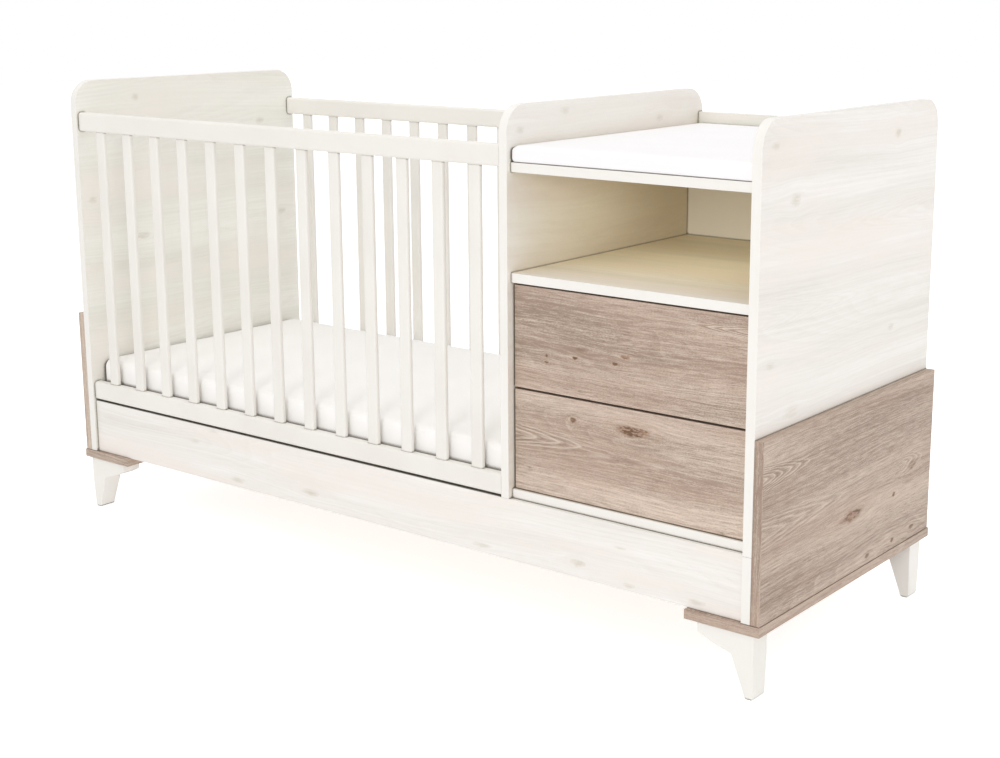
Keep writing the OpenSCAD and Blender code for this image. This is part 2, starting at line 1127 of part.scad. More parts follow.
left_end_panel();
left_end_cover();
left_base_plate();
right_lower_panel();
right_end_cover();
right_base_plate();
leg_front_left();
leg_back_left();
leg_front_right();
leg_back_right();
front_apron();
back_apron();
front_top_rail();
front_bottom_rail();
front_slats();
back_top_rail();
back_bottom_rail();
back_slats();
front_ledger();
back_ledger();
base_slats();
mattress();
divider_panel();
right_side_panel();
changer_top();
open_shelf();
changer_bottom();
changer_back();
back_guard();
changing_pad();
upper_front();
upper_left_side();
upper_right_side();
upper_back();
upper_bottom();
lower_front();
lower_left_side();
lower_right_side();
lower_back();
lower_bottom();
upper_outer_left();
upper_outer_right();
upper_middle_left();
upper_middle_right();
upper_inner_left();
upper_inner_right();
lower_outer_left();
lower_outer_right();
lower_middle_left();
lower_middle_right();
lower_inner_left();
lower_inner_right();
rail_cams();
rail_dowels();
cabinet_cams();
apron_brackets();
leg_screws();
upper_cams();
lower_cams();
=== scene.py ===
"""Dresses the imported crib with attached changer, from its boards to its soft parts."""

import logging
import math
from dataclasses import dataclass, replace
from enum import Enum
from typing import Iterable, Mapping, Optional, Sequence, Union

import bmesh
import bpy
from mathutils import Euler, Matrix, Vector


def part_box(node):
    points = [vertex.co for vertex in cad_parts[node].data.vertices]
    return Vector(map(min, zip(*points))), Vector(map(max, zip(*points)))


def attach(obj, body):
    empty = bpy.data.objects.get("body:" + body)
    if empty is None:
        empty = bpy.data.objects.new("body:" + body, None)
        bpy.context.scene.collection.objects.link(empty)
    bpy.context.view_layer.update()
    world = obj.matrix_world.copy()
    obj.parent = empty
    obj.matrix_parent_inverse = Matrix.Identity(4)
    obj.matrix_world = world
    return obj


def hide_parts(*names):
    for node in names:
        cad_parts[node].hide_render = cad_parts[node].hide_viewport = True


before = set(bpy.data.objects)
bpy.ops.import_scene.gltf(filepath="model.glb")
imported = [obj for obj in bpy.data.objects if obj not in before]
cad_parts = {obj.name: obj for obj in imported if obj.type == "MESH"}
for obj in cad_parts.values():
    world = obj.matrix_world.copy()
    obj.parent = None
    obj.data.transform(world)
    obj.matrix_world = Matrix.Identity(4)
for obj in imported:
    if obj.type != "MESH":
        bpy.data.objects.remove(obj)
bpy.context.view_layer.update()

LOG = logging.getLogger("crib")
MM = 0.001
WELD = 0.001 * MM
HARD_ANGLE = 50.0
Socket = bpy.types.NodeSocket
Value = Union[Socket, float, int, str, Sequence[float], bpy.types.ID]


class Axis(Enum):
    """The three directions of the shared frame."""

    X = 0
    Y = 1
    Z = 2


def paint(red: int, green: int, blue: int) -> tuple[float, float, float, float]:
    """Turns a colour written as seen on a screen into the linear colour that shaders use.

    Args:
        red: Red from 0 to 255.
        green: Green from 0 to 255.
        blue: Blue from 0 to 255.

    Returns:
        The linear colour with an alpha of 1.
    """

    def linear(level: int) -> float:
        """Undoes the screen's curve for one channel."""
        share = level / 255.0
        return share / 12.92 if share <= 0.04045 else ((share + 0.055) / 1.055) ** 2.4

    return (linear(red), linear(green), linear(blue), 1.0)


WHITE = paint(255, 255, 255)


# ---------------------------------------------------------------- node trees


class Graph:
    """Adds nodes to one tree and joins them in short calls."""

    def __init__(self, tree: bpy.types.NodeTree) -> None:
        """Keeps the tree that the calls add to."""
        self.tree = tree

    def add(self, kind: str, inputs: Optional[dict] = None, **settings: object) -> bpy.types.Node:
        """Adds a node.

        Args:
            kind: The node's type name.
            inputs: Values or sockets for its inputs, by name or index.
            **settings: Properties of the node itself.

        Returns:
            The new node.
        """
        node = self.tree.nodes.new(kind)
        for key, value in settings.items():
            setattr(node, key, value)
        self.send(node.inputs, inputs or {})
        return node

    def feed(self, socket: Socket, value: Value) -> None:
        """Joins a socket to an input, or sets the input's own value.

        Args:
            socket: The input.
            value: Another node's output, or a plain value.
        """
        if isinstance(value, bpy.types.NodeSocket):
            self.tree.links.new(value, socket)
        else:
            socket.default_value = value

    def send(self, sockets: Mapping, values: Mapping) -> None:
        """Feeds several inputs, by name or index."""
        for key, value in values.items():
            self.feed(sockets[key], value)

    def calc(self, operation: str, *values: Value) -> Socket:
        """Adds a Math node and returns its result."""
        inputs = dict(enumerate(values))
        return self.add("ShaderNodeMath", inputs, operation=operation).outputs[0]

    def times(self, first: Value, *others: Value) -> Socket:
        """Multiplies values.

        Args:
            first: The first value.
            *others: What it is multiplied with.

        Returns:
            The product.
        """
        for other in others:
            first = self.calc("MULTIPLY", first, other)
        return first

    def plus(self, first: Value, second: Value) -> Socket:
        """Adds two values."""
        return self.calc("ADD", first, second)

    def minus(self, first: Value, second: Value) -> Socket:
        """Takes the second value from the first."""
        return self.calc("SUBTRACT", first, second)

    def most(self, first: Value, second: Value) -> Socket:
        """The larger of two values."""
        return self.calc("MAXIMUM", first, second)

    def ratio(self, value: Value, start: Value, size: Value) -> Socket:
        """How many times size a value lies past start."""
        return self.calc("DIVIDE", self.minus(value, start), size)

    def vector(self, x: Value, y: Value, z: Value) -> Socket:
        """Joins three numbers to a vector."""
        return self.add("ShaderNodeCombineXYZ", {0: x, 1: y, 2: z}).outputs[0]

    def noise(self, vector: Socket, scale: Value = 1.0, detail: float = 2.0,
              roughness: float = 0.5) -> Socket:
        """Adds a noise of about 0 to 1 at that vector and returns its factor."""
        inputs = {"Vector": vector, "Scale": scale, "Detail": detail, "Roughness": roughness}
        return self.add("ShaderNodeTexNoise", inputs).outputs["Fac"]

    def span(self, value: Socket, low: Value, high: Value, start: float = 0.0,
             end: float = 1.0, smooth: bool = True) -> Socket:
        """Maps a value from low..high to start..end, held at both ends.

        Args:
            value: The value.
            low: Where the change starts.
            high: Where it ends.
            start: The result at and before low.
            end: The result at and past high.
            smooth: Whether the change eases in and out.

        Returns:
            The mapped value.
        """
        kind = "SMOOTHSTEP" if smooth else "LINEAR"
        inputs = {0: value, 1: low, 2: high, 3: start, 4: end}
        return self.add("ShaderNodeMapRange", inputs, interpolation_type=kind).outputs[0]

    def blend(self, share: Value, first: Value, second: Value, how: str = "MIX") -> Socket:
        """Mixes two colours and returns the result."""
        inputs = {0: share, 6: first, 7: second}
        return self.add("ShaderNodeMix", inputs, data_type="RGBA", blend_type=how).outputs[2]

    def group(self, tree: bpy.types.NodeTree, inputs: dict) -> Mapping:
        """Places a shader group with its inputs and returns its outputs by name."""
        return self.add("ShaderNodeGroup", inputs, node_tree=tree).outputs


def new_group(name: str, kind: str, inputs: Sequence[tuple], outputs: Sequence[tuple]) -> tuple:
    """Makes a node group with its sockets.

    Args:
        name: The group's name.
        kind: The tree's type name.
        inputs: Name and socket type of each input.
        outputs: Name and socket type of each output.

    Returns:
        The graph, what the group is given by name and what it puts out by name.
    """
    tree = bpy.data.node_groups.new(name, kind)
    for sockets, way in ((inputs, "INPUT"), (outputs, "OUTPUT")):
        for label, type_ in sockets:
            tree.interface.new_socket(label, in_out=way, socket_type=type_)
    graph = Graph(tree)
    return graph, graph.add("NodeGroupInput").outputs, graph.add("NodeGroupOutput").inputs


def floats(*names: str) -> list[tuple[str, str]]:
    """Sockets of plain numbers."""
    return [(name, FLOAT) for name in names]


FLOAT = "NodeSocketFloat"
VECTOR = "NodeSocketVector"
COLOR = "NodeSocketColor"


@dataclass(frozen=True)
class Layer:
    """One noise of the wood figure, stretched along the grain."""

    run: float
    cross: float
    offset: float
    low: float
    high: float
    detail: float = 2.0
    roughness: float = 0.5
    least: float = 0.0
    eased: bool = True


FIGURE = {
    "Bands": Layer(1.0, 15.0, 5.0, 0.30, 0.70, detail=3.0, eased=False),
    "Streaks": Layer(1.8, 210.0, 1.0, 0.28, 0.72, detail=3.0, roughness=0.55, eased=False),
    "Fibres": Layer(26.0, 480.0, 4.0, 0.28, 0.72, roughness=0.6, eased=False),
    "Speckle": Layer(300.0, 640.0, 6.0, 0.25, 0.75, detail=1.0, eased=False),
    "Clouds": Layer(2.2, 12.0, 7.3, 0.40, 0.66, detail=3.0, roughness=0.55),
}
GROWTH_AREAS = Layer(2.4, 12.0, 9.1, 0.46, 0.60)
GROWTH_BREAKS = Layer(55.0, 160.0, 2.2, 0.30, 0.62, least=0.25)
DASH_MARKS = Layer(60.0, 520.0, 8.0, 0.56, 0.68)
DASH_AREAS = Layer(4.0, 26.0, 9.9, 0.42, 0.66)


class Effects:
    """The shader groups that several finishes share, each built once."""

    def __init__(self) -> None:
        """Builds every shared group."""
        self.figure = self._figure()
        self.knot = self._knot()
        self.arches = self._arches()
        self.seam = self._painted_joint_shade()
        self.hollow = self._painted_bounce()
        self.weave = self._weave()
        self.brushed = self._brushed()

    @staticmethod
    def _figure() -> bpy.types.NodeTree:
        """Wood figure in board coordinates, from wide bands down to single fibres.

        Returns:
            The group.
        """
        graph, given, out = new_group(
            "wood_figure", "ShaderNodeTree",
            floats("Along", "Across", "Through", "Seed", "Lines", "Drift"),
            floats(*FIGURE, "Growth", "Glint", "Dashes"))
        depth = graph.calc("MULTIPLY_ADD", given["Through"], 6.0, given["Seed"])

        def stretched(run: float, cross: float, offset: float, place: Socket) -> Socket:
            """Coordinates stretched along the grain."""
            return graph.vector(graph.times(given["Along"], run), graph.times(place, cross),
                                graph.plus(depth, offset))

        slow = graph.noise(stretched(1.6, 5.0, 0.0, given["Across"]), detail=1.0)
        line = graph.plus(given["Across"], graph.times(graph.minus(slow, 0.5), given["Drift"]))

        def shade(layer: Layer) -> Socket:
            """Shades one layer along the drifting lines.

            Args:
                layer: The layer.

            Returns:
                Its strength, from its least to 1.
            """
            noise = graph.noise(stretched(layer.run, layer.cross, layer.offset, line),
                                detail=layer.detail, roughness=layer.roughness)
            return graph.span(noise, layer.low, layer.high, layer.least, 1.0, layer.eased)

        level = graph.noise(stretched(1.2, 6.5, 3.7, line), detail=1.0, roughness=0.4)
        phase = graph.calc("FRACT", graph.times(level, given["Lines"]))
        shown = graph.times(shade(GROWTH_AREAS), shade(GROWTH_BREAKS))
        rise = graph.span(phase, 0.30, 0.92)
        fall = graph.span(phase, 0.92, 1.0, 1.0, 0.0, smooth=False)
        after = graph.span(phase, 0.0, 0.22, 1.0, 0.0)
        graph.send(out, {name: shade(layer) for name, layer in FIGURE.items()})
        graph.send(out, {"Growth": graph.times(rise, fall, shown),
                         "Glint": graph.times(after, shown),
                         "Dashes": graph.times(shade(DASH_MARKS), shade(DASH_AREAS))})
        return graph.tree

    @staticmethod
    def _knot() -> bpy.types.NodeTree:
        """One knot: pushes the lines apart and gives its core, its flecks and its rings.

        Returns:
            The group.
        """
        graph, given, out = new_group(
            "wood_knot", "ShaderNodeTree",
            floats("Along", "Across", "Core", "Rings", "Flecks", "Centre Along", "Centre Across",
                   "Half Length", "Half Height", "Depth", "Softness"),
            floats("Across", "Core", "Rings", "Flecks"))
        away = graph.ratio(given["Along"], given["Centre Along"], given["Half Length"])
        beside = graph.ratio(given["Across"], given["Centre Across"], given["Half Height"])
        rough = graph.noise(graph.vector(away, beside, given["Centre Along"]), scale=1.3,
                            detail=4.0, roughness=0.6)
        radius = graph.calc("SQRT", graph.plus(graph.times(away, away),
                                               graph.times(beside, beside)))
        ragged = graph.calc("MULTIPLY_ADD", graph.minus(rough, 0.5), 1.5, radius)
        spread = graph.times(graph.calc("EXPONENT", graph.times(radius, radius, -0.16)), 0.62)
        push = graph.times(beside, spread, given["Half Height"])
        inside = graph.span(ragged, graph.minus(0.8, given["Softness"]),
                            graph.plus(0.8, given["Softness"]), 1.0, 0.0)
        core = graph.times(inside, given["Depth"])
        fleck = graph.noise(graph.vector(away, beside, given["Half Length"]), scale=3.2)
        large = graph.span(given["Half Length"], 0.022, 0.034)
        flecks = graph.times(graph.span(fleck, 0.48, 0.60), core, large)
        wave = graph.calc("SINE", graph.times(ragged, 8.0))
        rings = graph.times(graph.span(wave, 0.0, 0.9), graph.span(ragged, 0.5, 2.4, 1.0, 0.0),
                            given["Depth"])
        graph.send(out, {"Across": graph.minus(given["Across"], push),
                         "Core": graph.most(given["Core"], core),
                         "Flecks": graph.most(given["Flecks"], flecks),
                         "Rings": graph.most(given["Rings"], rings)})
        return graph.tree

    @staticmethod
    def _arches() -> bpy.types.NodeTree:
        """Nested arches of growth lines, as where a board is cut along the log's side.

        Returns:
            The group.
        """
        graph, given, out = new_group(
            "wood_arches", "ShaderNodeTree",
            floats("Along", "Across", "Dark", "Light", "Tip", "Centre", "Length", "Height",
                   "Way", "Count", "Depth"),
            floats("Dark", "Light"))
        away = graph.times(graph.ratio(given["Tip"], given["Along"], given["Length"]),
                           given["Way"])
        jag = graph.noise(graph.vector(graph.times(given["Along"], 18.0),
                                       graph.times(given["Across"], 90.0), given["Tip"]))
        beside = graph.calc("ABSOLUTE", graph.ratio(given["Across"], given["Centre"],
                                                    given["Height"]))
        curve = graph.times(graph.calc("POWER", beside, 1.5), 0.9)
        inner = graph.calc("MULTIPLY_ADD", graph.minus(jag, 0.5), 0.22, graph.minus(away, curve))
        phase = graph.calc("FRACT", graph.times(inner, given["Count"]))
        near = graph.times(graph.span(inner, -0.04, 0.06), graph.span(away, 1.0, 1.6, 1.0, 0.0),
                           graph.span(beside, 0.8, 1.4, 1.0, 0.0), given["Depth"])
        for key, (start, full, fade, end) in (("Dark", (0.45, 0.80, 0.80, 0.97)),
                                              ("Light", (0.02, 0.12, 0.12, 0.42))):
            line = graph.times(graph.span(phase, start, full),
                               graph.span(phase, fade, end, 1.0, 0.0), near)
            graph.feed(out[key], graph.most(given[key], line))
        return graph.tree

    @staticmethod
    def _painted_joint_shade() -> bpy.types.NodeTree:
        """Paints shade into a colour in the gaps and corners between pieces.

        Returns:
            The group.
        """
        graph, given, out = new_group(
            "painted_joint_shade_nodes", "ShaderNodeTree",
            [("Color", COLOR), ("Painted Shade Color", COLOR), *floats("Openness", "Strength")],
            [("Color", COLOR)])
        closed = graph.span(given["Openness"], 0.50, 0.86, 1.0, 0.0)
        graph.feed(out["Color"], graph.blend(graph.times(closed, given["Strength"]),
                                             given["Color"], given["Painted Shade Color"]))
        return graph.tree

    @staticmethod
    def _painted_bounce() -> bpy.types.NodeTree:
        """Paints warm bounce light and shade into a colour deep inside a box, where boards would
        light each other.

        Returns:
            The group.
        """
        graph, given, out = new_group(
            "painted_bounce_shade", "ShaderNodeTree",
            [("Color", COLOR), ("Painted Bounce Tone", COLOR), ("Openness", FLOAT)], [("Color", COLOR)])
        share = graph.span(given["Openness"], 0.04, 0.50, 1.0, 0.0, smooth=False)
        warmed = graph.blend(1.0, given["Color"], given["Painted Bounce Tone"], "MULTIPLY")
        graph.feed(out["Color"], graph.blend(share, given["Color"], warmed))
        return graph.tree

    @staticmethod
    def _weave() -> bpy.types.NodeTree:
        """Plain weave: crossing threads with a height and a light and dark mask.

        Returns:
            The group.
        """
        graph, given, out = new_group(
            "plain_weave", "ShaderNodeTree", [("Vector", VECTOR), *floats("Thread", "Fuzz")],
            floats("Height", "Mask"))
        parts = graph.add("ShaderNodeSeparateXYZ", {0: given["Vector"]}).outputs
        turns = graph.calc("DIVIDE", math.pi, given["Thread"])
        slanted = graph.plus(parts[1], graph.times(parts[2], 0.7))
        first, second = (graph.calc("SINE", graph.times(run, turns)) for run in
                         (parts[0], slanted))
        fuzz = graph.noise(given["Vector"], scale=900.0)
        height = graph.calc("MULTIPLY_ADD", fuzz, given["Fuzz"], graph.times(first, second))
        graph.send(out, {"Height": height, "Mask": graph.span(height, -0.6, 1.0)})
        return graph.tree

    @staticmethod
    def _brushed() -> bpy.types.NodeTree:
        """Fine drawn lines and cloudy tarnish on metal.

        Returns:
            The group.
        """
        graph, given, out = new_group(
            "drawn_metal", "ShaderNodeTree", [("Vector", VECTOR), ("Fine", FLOAT)],
            floats("Lines", "Tarnish"))
        parts = graph.add("ShaderNodeSeparateXYZ", {0: given["Vector"]}).outputs
        drawn = graph.vector(parts[0], graph.times(parts[1], 0.02), parts[2])
        graph.send(out, {"Lines": graph.noise(drawn, scale=given["Fine"]),
                         "Tarnish": graph.noise(given["Vector"], scale=45.0, detail=4.0)})
        return graph.tree


# ---------------------------------------------------------------- finishes


@dataclass(frozen=True)
class Knot:
    """A knot in a board's decor, in metres of the shared frame."""

    along: float
    across: float
    half_length: float
    half_height: float
    depth: float = 1.0


@dataclass(frozen=True)
class Arches:
    """A set of nested growth lines in a board's decor, in metres of the shared frame."""

    tip: float
    centre: float
    length: float
    height: float
    way: float = 1.0
    count: float = 4.0
    depth: float = 1.0


@dataclass(frozen=True)
class Grain:
    """How a decor lies on a board."""

    along: Axis
    across: Axis
    seed: float
    shift: float = 0.0

    @property
    def through(self) -> Axis:
        """The direction that is neither along nor across the grain."""
        return Axis(3 - self.along.value - self.across.value)


@dataclass(frozen=True)
class Finish:
    """What every finish has: its names, the shared groups and the tones of its painted shade where
    pieces meet and deep inside boxes.
    """

    name: str
    slot: str
    effects: Effects
    # Colour of the painted shade where another piece is close.
    joint: tuple = paint(118, 109, 94)
    # Tone of the painted warm bounce light and shade deep inside a box.
    painted_bounce_tone: tuple = paint(252, 244, 214)

    def begin(self, name: str) -> tuple[bpy.types.Material, Graph, bpy.types.Node, Socket]:
        """Makes an empty material.

        Args:
            name: The name of the piece that it is for.

        Returns:
            The material, its graph, its main shader and its object coordinates.
        """
        material = bpy.data.materials.new(f"{self.name}_{name}")
        material.use_nodes = True
        material.node_tree.nodes.clear()
        graph = Graph(material.node_tree)
        shader = graph.add("ShaderNodeBsdfPrincipled")
        graph.add("ShaderNodeOutputMaterial", {0: shader.outputs[0]})
        place = graph.add("ShaderNodeTexCoord").outputs["Object"]
        return material, graph, shader, place

    def paint_joint_shade(self, graph: Graph, color: Socket, strength: float,
                     reach: float) -> Socket:
        """Paints shade into a colour where another piece is close.

        Args:
            graph: The material's graph.
            color: The colour so far.
            strength: How far a closed gap goes to the painted shade colour.
            reach: How far from the gap the painted shade reaches, in metres.

        Returns:
            The colour with its painted shade.
        """
        near = graph.add("ShaderNodeAmbientOcclusion", {"Distance": reach}, samples=8)
        return graph.group(self.effects.seam, {
            "Color": color, "Openness": near.outputs["AO"], "Painted Shade Color": self.joint,
            "Strength": strength})["Color"]

    def paint_bounce_shade(self, graph: Graph, color: Socket, reach: float) -> Socket:
        """Paints warm bounce light and shade into a colour deep inside a box of boards.

        Args:
            graph: The material's graph.
            color: The colour so far.
            reach: How wide the box is, in metres; 0 leaves the colour alone.

        Returns:
            The colour with its painted warm shade.
        """
        if reach <= 0.0:
            return color
        near = graph.add("ShaderNodeAmbientOcclusion", {"Distance": reach}, samples=6)
        return graph.group(self.effects.hollow, {
            "Color": color, "Openness": near.outputs["AO"], "Painted Bounce Tone": self.painted_bounce_tone})["Color"]

    def finish(self, graph: Graph, shader: bpy.types.Node, color: Socket, rough: Socket,
               bump: tuple[Socket, float, float]) -> None:
        """Feeds the shader its colour, its roughness and a bump.

        Args:
            graph: The material's graph.
            shader: The material's shader.
            color: Its colour.
            rough: Its roughness.
            bump: The bump's height, its strength and its distance in metres.
        """
        inputs = dict(zip(("Height", "Strength", "Distance"), bump))
        normal = graph.add("ShaderNodeBump", inputs).outputs["Normal"]
        graph.send(shader.inputs, {"Base Color": color, "Roughness": rough, "Normal": normal})


@dataclass(frozen=True)
class Decor(Finish):
    """Printed wood decor on board."""

    pale: tuple = WHITE
    dark: tuple = WHITE
    blush: tuple = WHITE
    line: tuple = WHITE
    glint: tuple = WHITE
    core: tuple = WHITE
    halo: tuple = WHITE
    lines: float = 26.0
    bands: float = 0.6
    streaks: float = 0.8
    fibres: float = 1.1
    speckle: float = 0.4
    blushes: float = 0.5
    growth: float = 0.5
    glints: float = 0.8
    dashes: float = 0.4
    rings: float = 0.4
    flecks: float = 0.6
    arch_lines: float = 0.55
    arch_glints: float = 0.6
    drift: float = 0.03
    softness: float = 0.3
    rough: float = 0.5
    relief_height: float = 0.25 * MM
    relief_strength: float = 0.35

    def board(self, name: str, grain: Grain, knots: Iterable[Knot] = (),
              arches: Iterable[Arches] = (), hollow: float = 0.0,
              reach: float = 0.005, joints: float = 0.8) -> bpy.types.Material:
        """Makes the decor of one board.

        Args:
            name: The board's name.
            grain: How the decor lies on it.
            knots: Its knots.
            arches: Its sets of nested growth lines.
            hollow: The width of the box that the board is part of, in metres, for its painted warm
                shade.
            reach: How far the painted shade where pieces meet reaches, in metres.
            joints: How dark the painted shade of a closed gap gets, from 0 to 1.

        Returns:
            The material.
        """
        material, graph, shader, place = self.begin(name)
        parts = graph.add("ShaderNodeSeparateXYZ", {0: place}).outputs
        along, through = parts[grain.along.value], parts[grain.through.value]
        marks = self.add_knots(graph, along, parts[grain.across.value], knots)
        figure = graph.group(self.effects.figure, {
            "Along": graph.plus(along, grain.shift), "Across": marks["Across"],
            "Through": through, "Seed": grain.seed, "Lines": self.lines, "Drift": self.drift})
        color = self.wood_color(graph, figure)
        if arches:
            color = self.add_arches(graph, color, along, marks["Across"], arches)
        if knots:
            color = graph.blend(graph.times(marks["Rings"], self.rings), color, self.halo)
            grainy = graph.span(figure["Fibres"], 0.38, 0.9)
            inside = graph.blend(grainy, self.core, self.halo)
            inside = graph.blend(graph.times(marks["Flecks"], self.flecks), inside, self.blush)
            color = graph.blend(marks["Core"], color, inside)
        # Painted warm bounce shade deep inside boxes, then painted shade where pieces meet.
        color = self.paint_joint_shade(graph, self.paint_bounce_shade(graph, color, hollow), joints, reach)
        rough = graph.span(figure["Fibres"], 0.0, 1.0, self.rough + 0.08, self.rough - 0.05,
                           smooth=False)
        height = graph.minus(figure["Fibres"], figure["Dashes"])
        self.finish(graph, shader, color, rough,
                    (height, self.relief_strength, self.relief_height))
        return material

    def add_knots(self, graph: Graph, along: Socket, across: Socket,
                  knots: Iterable[Knot]) -> dict[str, Value]:
        """Places the knots one after another.

        Args:
            graph: The material's graph.
            along: The place along the grain.
            across: The place across it.
            knots: The knots.

        Returns:
            The place across, pushed aside by the knots, and their core, rings and flecks.
        """
        marks: dict[str, Value] = {"Across": across, "Core": 0.0, "Rings": 0.0, "Flecks": 0.0}
        for knot in knots:
            made = graph.group(self.effects.knot, {
                "Along": along, **marks, "Centre Along": knot.along,
                "Centre Across": knot.across, "Half Length": knot.half_length,
                "Half Height": knot.half_height, "Depth": knot.depth,
                "Softness": self.softness})
            marks = {key: made[key] for key in marks}
        return marks

    def wood_color(self, graph: Graph, figure: Mapping) -> Socket:
        """Paints the figure.

        Args:
            graph: The material's graph.
            figure: What the figure group puts out.

        Returns:
            The colour.
        """
        weight: Value = 0.5
        for key, share in (("Bands", self.bands), ("Streaks", self.streaks),
                           ("Fibres", self.fibres), ("Speckle", self.speckle)):
            weight = graph.calc("MULTIPLY_ADD", graph.minus(figure[key], 0.5), share, weight)
        color = graph.blend(graph.calc("MINIMUM", graph.most(weight, 0.0), 1.0), self.dark,
                            self.pale)
        for key, share, tone in (("Clouds", self.blushes, self.blush),
                                 ("Growth", self.growth, self.line),
                                 ("Glint", self.growth * self.glints, self.glint),
                                 ("Dashes", self.dashes, self.line)):
            color = graph.blend(graph.times(figure[key], share), color, tone)
        return color

    def add_arches(self, graph: Graph, color: Socket, along: Socket, across: Value,
                   arches: Iterable[Arches]) -> Socket:
        """Draws sets of nested growth lines over the figure.

        Args:
            graph: The material's graph.
            color: The colour so far.
            along: The place along the grain.
            across: The place across it.
            arches: The sets.

        Returns:
            The colour with the lines.
        """
        bows: dict[str, Value] = {"Dark": 0.0, "Light": 0.0}
        for arch in arches:
            made = graph.group(self.effects.arches, {
                "Along": along, "Across": across, **bows, "Tip": arch.tip,
                "Centre": arch.centre, "Length": arch.length, "Height": arch.height,
                "Way": arch.way, "Count": arch.count, "Depth": arch.depth})
            bows = {key: made[key] for key in bows}
        for key, share, tone in (("Dark", self.arch_lines, self.line),
                                 ("Light", self.arch_glints, self.glint)):
            color = graph.blend(graph.times(bows[key], share), color, tone)
        return color


@dataclass(frozen=True)
class Lacquer(Finish):
    """Painted wood: an even coat with a faint roll of the brush and softer edges."""

    coat: tuple = WHITE
    thin: tuple = WHITE
    rough: float = 0.5
    shine: float = 0.18
    # Strength and reach of the painted shade where pieces meet.
    joints: float = 0.9
    reach: float = 6 * MM
    relief_height: float = 0.2 * MM
    relief_strength: float = 0.12

    def coating(self, name: str, hollow: float = 0.0) -> bpy.types.Material:
        """Makes the coat for one piece or set of pieces.

        Args:
            name: The piece's name.
            hollow: The width of the box that the piece is part of, in metres, for its painted warm
                shade.

        Returns:
            The material.
        """
        material, graph, shader, place = self.begin(name)
        orange = graph.noise(place, scale=420.0, detail=3.0, roughness=0.55)
        patch = graph.noise(place, scale=6.0, detail=3.0)
        color = graph.blend(graph.span(patch, 0.35, 0.7, 0.0, 0.6), self.coat, self.thin)
        color = graph.blend(graph.span(orange, 0.55, 0.8, 0.0, 0.12), color, self.thin)
        # Painted warm bounce shade deep inside boxes, then painted shade where pieces meet.
        color = self.paint_joint_shade(graph, self.paint_bounce_shade(graph, color, hollow), self.joints,
                                  self.reach)
        rough = graph.span(patch, 0.2, 0.8, self.rough - 0.05, self.rough + 0.07)
        shader.inputs["Specular IOR Level"].default_value = self.shine
        self.finish(graph, shader, color, rough,
                    (orange, self.relief_strength, self.relief_height))
        return material


@dataclass(frozen=True)
class Cloth(Finish):
    """Woven or coated cover of a soft part."""

    color: tuple = WHITE
    # Colour that the cover goes toward between its threads, as painted shade, and in random drifts
    # of tone.
    shade: tuple = WHITE
    thread: float = 1.1 * MM
    fuzz: float = 0.35
    relief_height: float = 0.25 * MM
    relief_strength: float = 0.35
    rough: float = 0.85
    sheen: float = 0.25
    sheen_rough: float = 0.5
    # Reach and strength of the painted shade where pieces meet.
    reach: float = 10 * MM
    joints: float = 0.85

    def cover(self, name: str) -> bpy.types.Material:
        """Makes the cover's material.

        Args:
            name: The piece's name.

        Returns:
            The material.
        """
        material, graph, shader, place = self.begin(name)
        weave = graph.group(self.effects.weave, {"Vector": place, "Thread": self.thread,
                                                 "Fuzz": self.fuzz})
        drift = graph.noise(place, scale=9.0, detail=3.0)
        # Darker between the threads, which is painted shade, and in random drifts of tone; then
        # painted shade where pieces meet.
        gap_shade_and_drift = graph.calc("MULTIPLY_ADD", graph.minus(1.0, weave["Mask"]), 0.35,
                          graph.span(drift, 0.35, 0.75, 0.0, 0.35))
        color = self.paint_joint_shade(graph, graph.blend(gap_shade_and_drift, self.color, self.shade), self.joints,
                                  self.reach)
        rough = graph.span(drift, 0.2, 0.8, self.rough - 0.06, self.rough + 0.06)
        shader.inputs["Sheen Weight"].default_value = self.sheen
        shader.inputs["Sheen Roughness"].default_value = self.sheen_rough
        self.finish(graph, shader, color, rough,
                    (weave["Height"], self.relief_strength, self.relief_height))
        return material


@dataclass(frozen=True)
class Metal(Finish):
    """Zinc plated sheet or cast zinc."""

    color: tuple = WHITE
    dull: tuple = WHITE
    rough: float = 0.3
    fine: float = 900.0
    # Strength and reach of the painted shade where pieces meet.
    joints: float = 0.5
    reach: float = 3 * MM
    relief_height: float = 0.1 * MM
    relief_strength: float = 0.1

    def plate(self, name: str) -> bpy.types.Material:
        """Makes the metal's material.

        Args:
            name: The name of the piece or set of pieces.

        Returns:
            The material.
        """
        material, graph, shader, place = self.begin(name)
        drawn = graph.group(self.effects.brushed, {"Vector": place, "Fine": self.fine})
        color = graph.blend(graph.span(drawn["Tarnish"], 0.4, 0.75), self.color, self.dull)
        # Painted shade where pieces meet.
        color = self.paint_joint_shade(graph, color, self.joints, self.reach)
        rough = graph.span(drawn["Lines"], 0.3, 0.7, self.rough - 0.08, self.rough + 0.12)
        shader.inputs["Metallic"].default_value = 1.0
        self.finish(graph, shader, color, rough,
                    (drawn["Lines"], self.relief_strength, self.relief_height))
        return material


